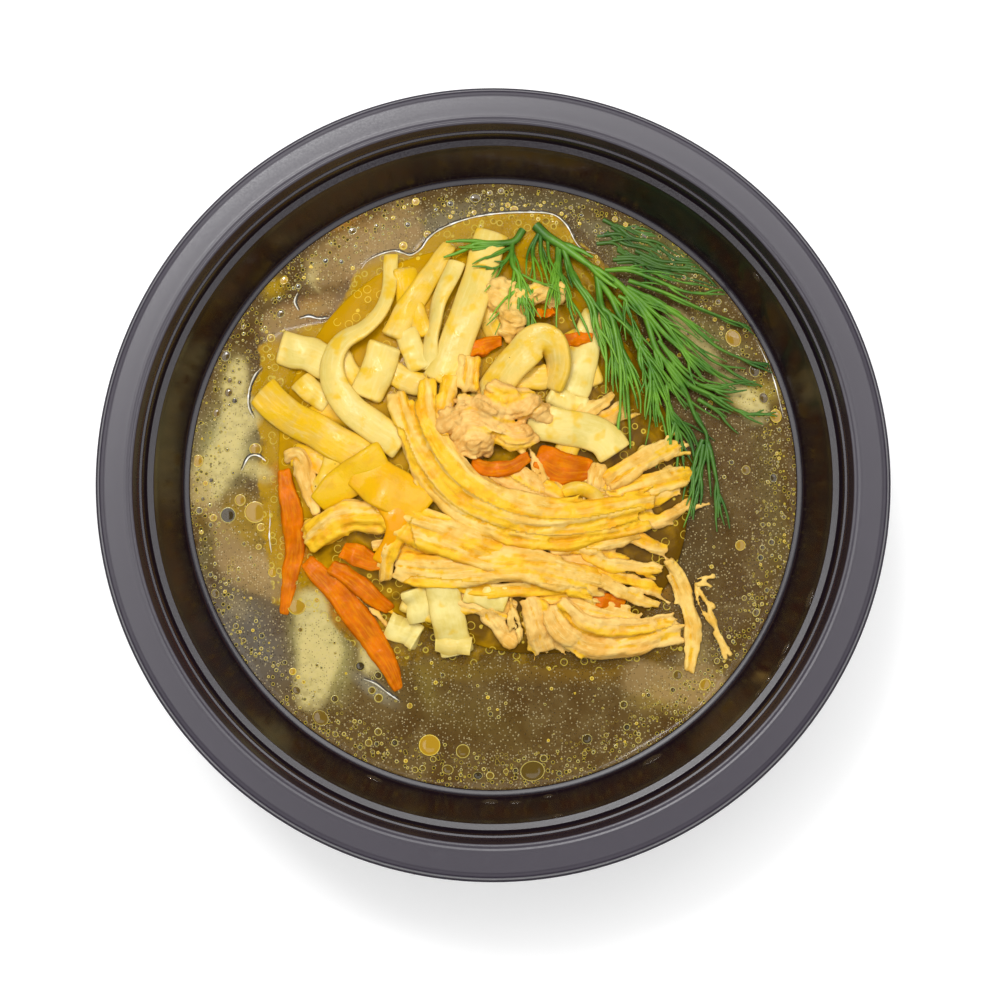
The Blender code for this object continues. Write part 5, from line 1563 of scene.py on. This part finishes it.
def make_dill(node, rng):
    """Threads laid one over another, most of them with a finer one beside it."""
    curve = fibre_curve(node.replace("dill_", "") + "_dill_sprig")
    for thick, places in DILL[node]:
        for beside in range(1 if thick > 1.4 else 2):
            spread = [rng.uniform(-0.035, 0.035), rng.uniform(-0.035, 0.035)] if beside else [0.0, 0.0]
            reach = 1.0 if not beside else rng.uniform(0.6, 0.95)
            high, steps = rng.uniform(-0.3, 0.9), 6 * len(places)
            drawn = []
            for i, (across, along) in enumerate(places):
                share = i / (len(places) - 1)
                a, b = across + spread[0] * share, along + spread[1] * share
                drawn.append((a, b, dill_lift(a, b) + high * math.sin(0.5 * math.pi * share)))
            line = Route(drawn, steps)
            points = [Vector(line.at(reach * i / (steps - 1))) for i in range(steps)]
            for point in points:
                point.z = max(point.z, (LEVEL + 0.3) * MM)
            size = 0.5 * thick * (0.8 if beside else 1.0)
            add_fibre(curve, points, [size * (1 - 0.72 * (i / (steps - 1)) ** 1.6) for i in range(steps)])
            add_leaflets(curve, points, 0.55 * size, LEVEL + 0.3, rng)
    work_on(curve)
    bpy.ops.object.convert(target="MESH")
    keep_inside(curve)
    # height above the broth, which the dill finish reads as painted light high up and painted shade low down
    height = (corners(curve)[:, 2] / MM - LEVEL) / 8.0
    give(curve, "lit_height", np.clip(height, 0.0, 1.0))
    soak_and_shade(curve)
    smooth(curve)
    return curve


# ---------------------------------------------------------------- sunk pieces

# Noodle ends under the surface or just breaking it: (width, places).
SUNK_NOODLES = [
    (7.6, [(-0.84, 0.24, -1.5), (-0.88, 0.14, -1.4), (-0.92, 0.04, -1.5), (-0.94, -0.02, -1.8)]),
    (2.8, [(-0.87, 0.075, -1.1), (-0.80, 0.06, -1.1), (-0.74, 0.04, -1.1)]),
    (3.8, [(-0.85, 0.40, -1.4), (-0.87, 0.30, -1.5), (-0.86, 0.24, -1.6)]),
    (8.2, [(-0.60, -0.43, -1.2), (-0.57, -0.52, -1.2), (-0.57, -0.60, -1.3), (-0.60, -0.66, -1.6)]),
    (4.6, [(-0.45, -0.44, -1.2), (-0.42, -0.52, -1.2), (-0.40, -0.58, -1.5)]),
    (2.8, [(-0.59, 0.74, -1.1), (-0.60, 0.68, -1.1), (-0.58, 0.64, -1.2)]),
    (4.5, [(0.60, 0.56, -1.1), (0.68, 0.47, -1.1), (0.74, 0.40, -1.5)]),
    (5.0, [(0.76, 0.34, -1.1), (0.82, 0.31, -1.1), (0.88, 0.26, -1.2)]),
]
# Chicken under the surface: (width, thickness, places).
SUNK_CHICKEN = [
    (9.0, 1.6, [(-0.55, 0.74, -1.5), (-0.43, 0.80, -1.3), (-0.30, 0.86, -1.6)]),
    (7.0, 1.6, [(-0.88, -0.22, -1.3), (-0.80, -0.28, -1.2), (-0.72, -0.34, -1.5)]),
    (4.5, 1.4, [(-0.98, 0.02, -1.2), (-0.96, -0.06, -1.1), (-0.90, -0.12, -1.5)]),
    (8.0, 1.6, [(0.50, -0.63, -1.4), (0.60, -0.67, -1.2), (0.70, -0.66, -1.6)]),
    (6.0, 1.4, [(-0.72, 0.54, -1.3), (-0.64, 0.57, -1.2), (-0.56, 0.60, -1.5)]),
]

# Dill under the surface: the places of each thread, in radii.
SUNK_DILL = [
    [(0.390, 0.846), (0.449, 0.807), (0.521, 0.788), (0.580, 0.748)],
    [(0.423, 0.879), (0.482, 0.833), (0.560, 0.820), (0.645, 0.768)],
    [(0.410, 0.748), (0.482, 0.748), (0.553, 0.716), (0.645, 0.690)],
    [(0.370, 0.879), (0.423, 0.853), (0.482, 0.859)],
    [(0.482, 0.768), (0.560, 0.735), (0.678, 0.722), (0.730, 0.676)],
    [(0.433, 0.794), (0.482, 0.761), (0.508, 0.716)],
    [(0.531, 0.794), (0.599, 0.748), (0.678, 0.748)],
    [(0.586, 0.820), (0.651, 0.775), (0.697, 0.729)],
    [(0.351, 0.820), (0.410, 0.820), (0.455, 0.781)],
]


def make_sunk_noodles(rng):
    ribbons = [
        strip(f"sunk_{i}", width, NOODLE_THICKNESS, places, [1.0], [0.0, 0.0], rng)
        for i, (width, places) in enumerate(SUNK_NOODLES)
    ]
    noodles = joined("sunk_noodles", ribbons)
    keep_inside(noodles)
    give(noodles, "soaked_and_shaded", np.zeros(len(noodles.data.vertices)))
    give(noodles, "yellow", np.full(len(noodles.data.vertices), 0.1))
    smooth(noodles)
    return noodles


def make_sunk_chicken(rng):
    curve = fibre_curve("sunk_chicken")
    lines = [Route(places) for _, _, places in SUNK_CHICKEN]
    for (width, thickness, _), line in zip(SUNK_CHICKEN, lines):
        bundle(curve, width, thickness, line, rng)
    work_on(curve)
    bpy.ops.object.convert(target="MESH")
    obj = fused("sunk_chicken", [curve], 0.45)
    keep_inside(obj)
    read_grain(obj, [line.points for line in lines])
    season(obj, 0.2, 0.5)
    obj.data.attributes["soaked_and_shaded"].data.foreach_set("value", np.full(len(obj.data.vertices), 0.1, np.float32))
    return obj


def make_sunk_dill(rng):
    """The dark tuft of dill afloat behind the sprig, half under the surface."""
    curve = fibre_curve("sunk_dill")
    for i, places in enumerate(SUNK_DILL):
        for _ in range(3):
            move = (rng.uniform(-0.02, 0.02), rng.uniform(-0.02, 0.02))
            line = Route([(across + move[0], along + move[1], 0.0) for across, along in places], 14)
            points = [Vector(point) for point in line.points]
            lift = rng.uniform(-0.25, 0.30)
            for step, point in enumerate(points):
                point.z = (LEVEL + lift - 0.15 * math.sin(step * 0.6 + i)) * MM
            add_fibre(curve, points, [0.44 - 0.26 * share for share in line.shares])
            add_leaflets(curve, points, 0.26, LEVEL - 0.3, rng)
    work_on(curve)
    bpy.ops.object.convert(target="MESH")
    keep_inside(curve)
    count = len(curve.data.vertices)
    # the sunk threads get the painted shade of low threads
    give(curve, "lit_height", np.full(count, 0.3))
    give(curve, "soaked_and_shaded", np.full(count, 0.55))
    smooth(curve)
    return curve


# ---------------------------------------------------------------- studio

def make_floor():
    bpy.ops.mesh.primitive_plane_add(size=12.0)
    floor = added("floor")
    f = Finish("pale_floor", Roughness=0.7, Emission_Strength=0.17)
    cloud = f.noise(f.object_mm(), 60.0, 3.0)
    f.set(f.shader, {"Base Color": f.mix(cloud, (0.94, 0.94, 0.94), (0.97, 0.97, 0.97))})
    f.set(f.shader, {"Emission Color": (1.0, 1.0, 1.0)})
    floor.data.materials.append(f.material)


def soft_panel(name, centre, size, radiance, colour=(1.0, 1.0, 1.0)):
    """A flat soft light facing the soup, as bright all over as this radiance says."""
    bpy.ops.object.light_add(type="AREA", location=centre)
    panel = added(name)
    panel.data.shape = "RECTANGLE"
    panel.data.size, panel.data.size_y = size
    panel.data.energy = radiance * math.pi * size[0] * size[1]
    panel.data.color = colour
    aim = Vector((0.0, 0.0, LEVEL * MM)) - Vector(centre)
    panel.rotation_euler = aim.to_track_quat("-Z", "Y").to_euler()


def make_light():
    world = bpy.data.worlds.new("studio")
    bpy.context.scene.world = world
    world.use_nodes = True
    world.node_tree.nodes["Background"].inputs["Color"].default_value = (1.0, 1.0, 1.0, 1.0)
    world.node_tree.nodes["Background"].inputs["Strength"].default_value = 0.22
    soft_panel("key_panel", (-0.16, 0.30, 1.0), (0.12, 0.12), 43.0)
    soft_panel("north_panel", (0.0, 0.42, 1.0), (0.95, 0.50), 4.2)
    soft_panel("west_panel", (-0.42, 0.0, 1.0), (0.46, 0.60), 2.85)
    soft_panel("east_panel", (0.42, 0.0, 1.0), (0.46, 0.60), 2.25)
    soft_panel("south_panel", (0.0, -0.42, 1.0), (0.95, 0.46), 1.7)


def make_camera():
    """Almost straight overhead, as soup is served."""
    target = Vector((0.0, 0.0, 0.0612))
    distance, elevation = 0.400, math.radians(87.2)
    bpy.ops.object.camera_add()
    camera = added("camera")
    camera.location = target + distance * Vector((0.0, -math.cos(elevation), math.sin(elevation)))
    camera.rotation_euler = (math.pi / 2 - elevation, 0.0, 0.0)
    camera.data.sensor_width = 36.0
    camera.data.lens = 79.6
    camera.data.shift_x = 0.00685
    camera.data.shift_y = -0.0183
    bpy.context.scene.camera = camera
    bpy.context.scene.view_settings.view_transform = "Standard"


# ---------------------------------------------------------------- serving

def main():
    rng = random.Random(7)
    noodle, chicken, carrot, dill = noodle_finish(), chicken_finish(), carrot_finish(), dill_finish()
    dress(make_bowl(), plastic_finish(), "black_plastic", "bowl")
    dress(make_broth(), broth_finish(), "broth", "broth")
    dress(make_fat(rng), fat_finish(), "broth")
    dress(make_fat_edges(), edge_finish(), "broth")
    dress(make_ledge_drops(rng), droplet_finish(), "broth")
    dress(make_noodles(rng), noodle, "noodle", "noodles")
    dress(make_under_noodles(rng), noodle, "noodle")
    dress(make_core(), core_finish(), "noodle")
    for node in CARROTS:
        dress(make_carrot(node, rng), carrot, "carrot", node)
    for node in CHICKENS:
        dress(make_chicken(node, rng), chicken, "chicken", node)
    for node in LUMPS:
        dress(make_lump(node, rng), chicken, "chicken", node)
    for node in DILL:
        dress(make_dill(node, rng), dill, "dill", node)
    dress(make_small_shreds(rng), chicken, "chicken")
    dress(make_sunk_noodles(rng), noodle, "noodle")
    dress(make_sunk_chicken(rng), chicken, "chicken")
    dress(make_sunk_dill(rng), dill, "dill")
    make_floor()
    make_light()
    make_camera()


main()
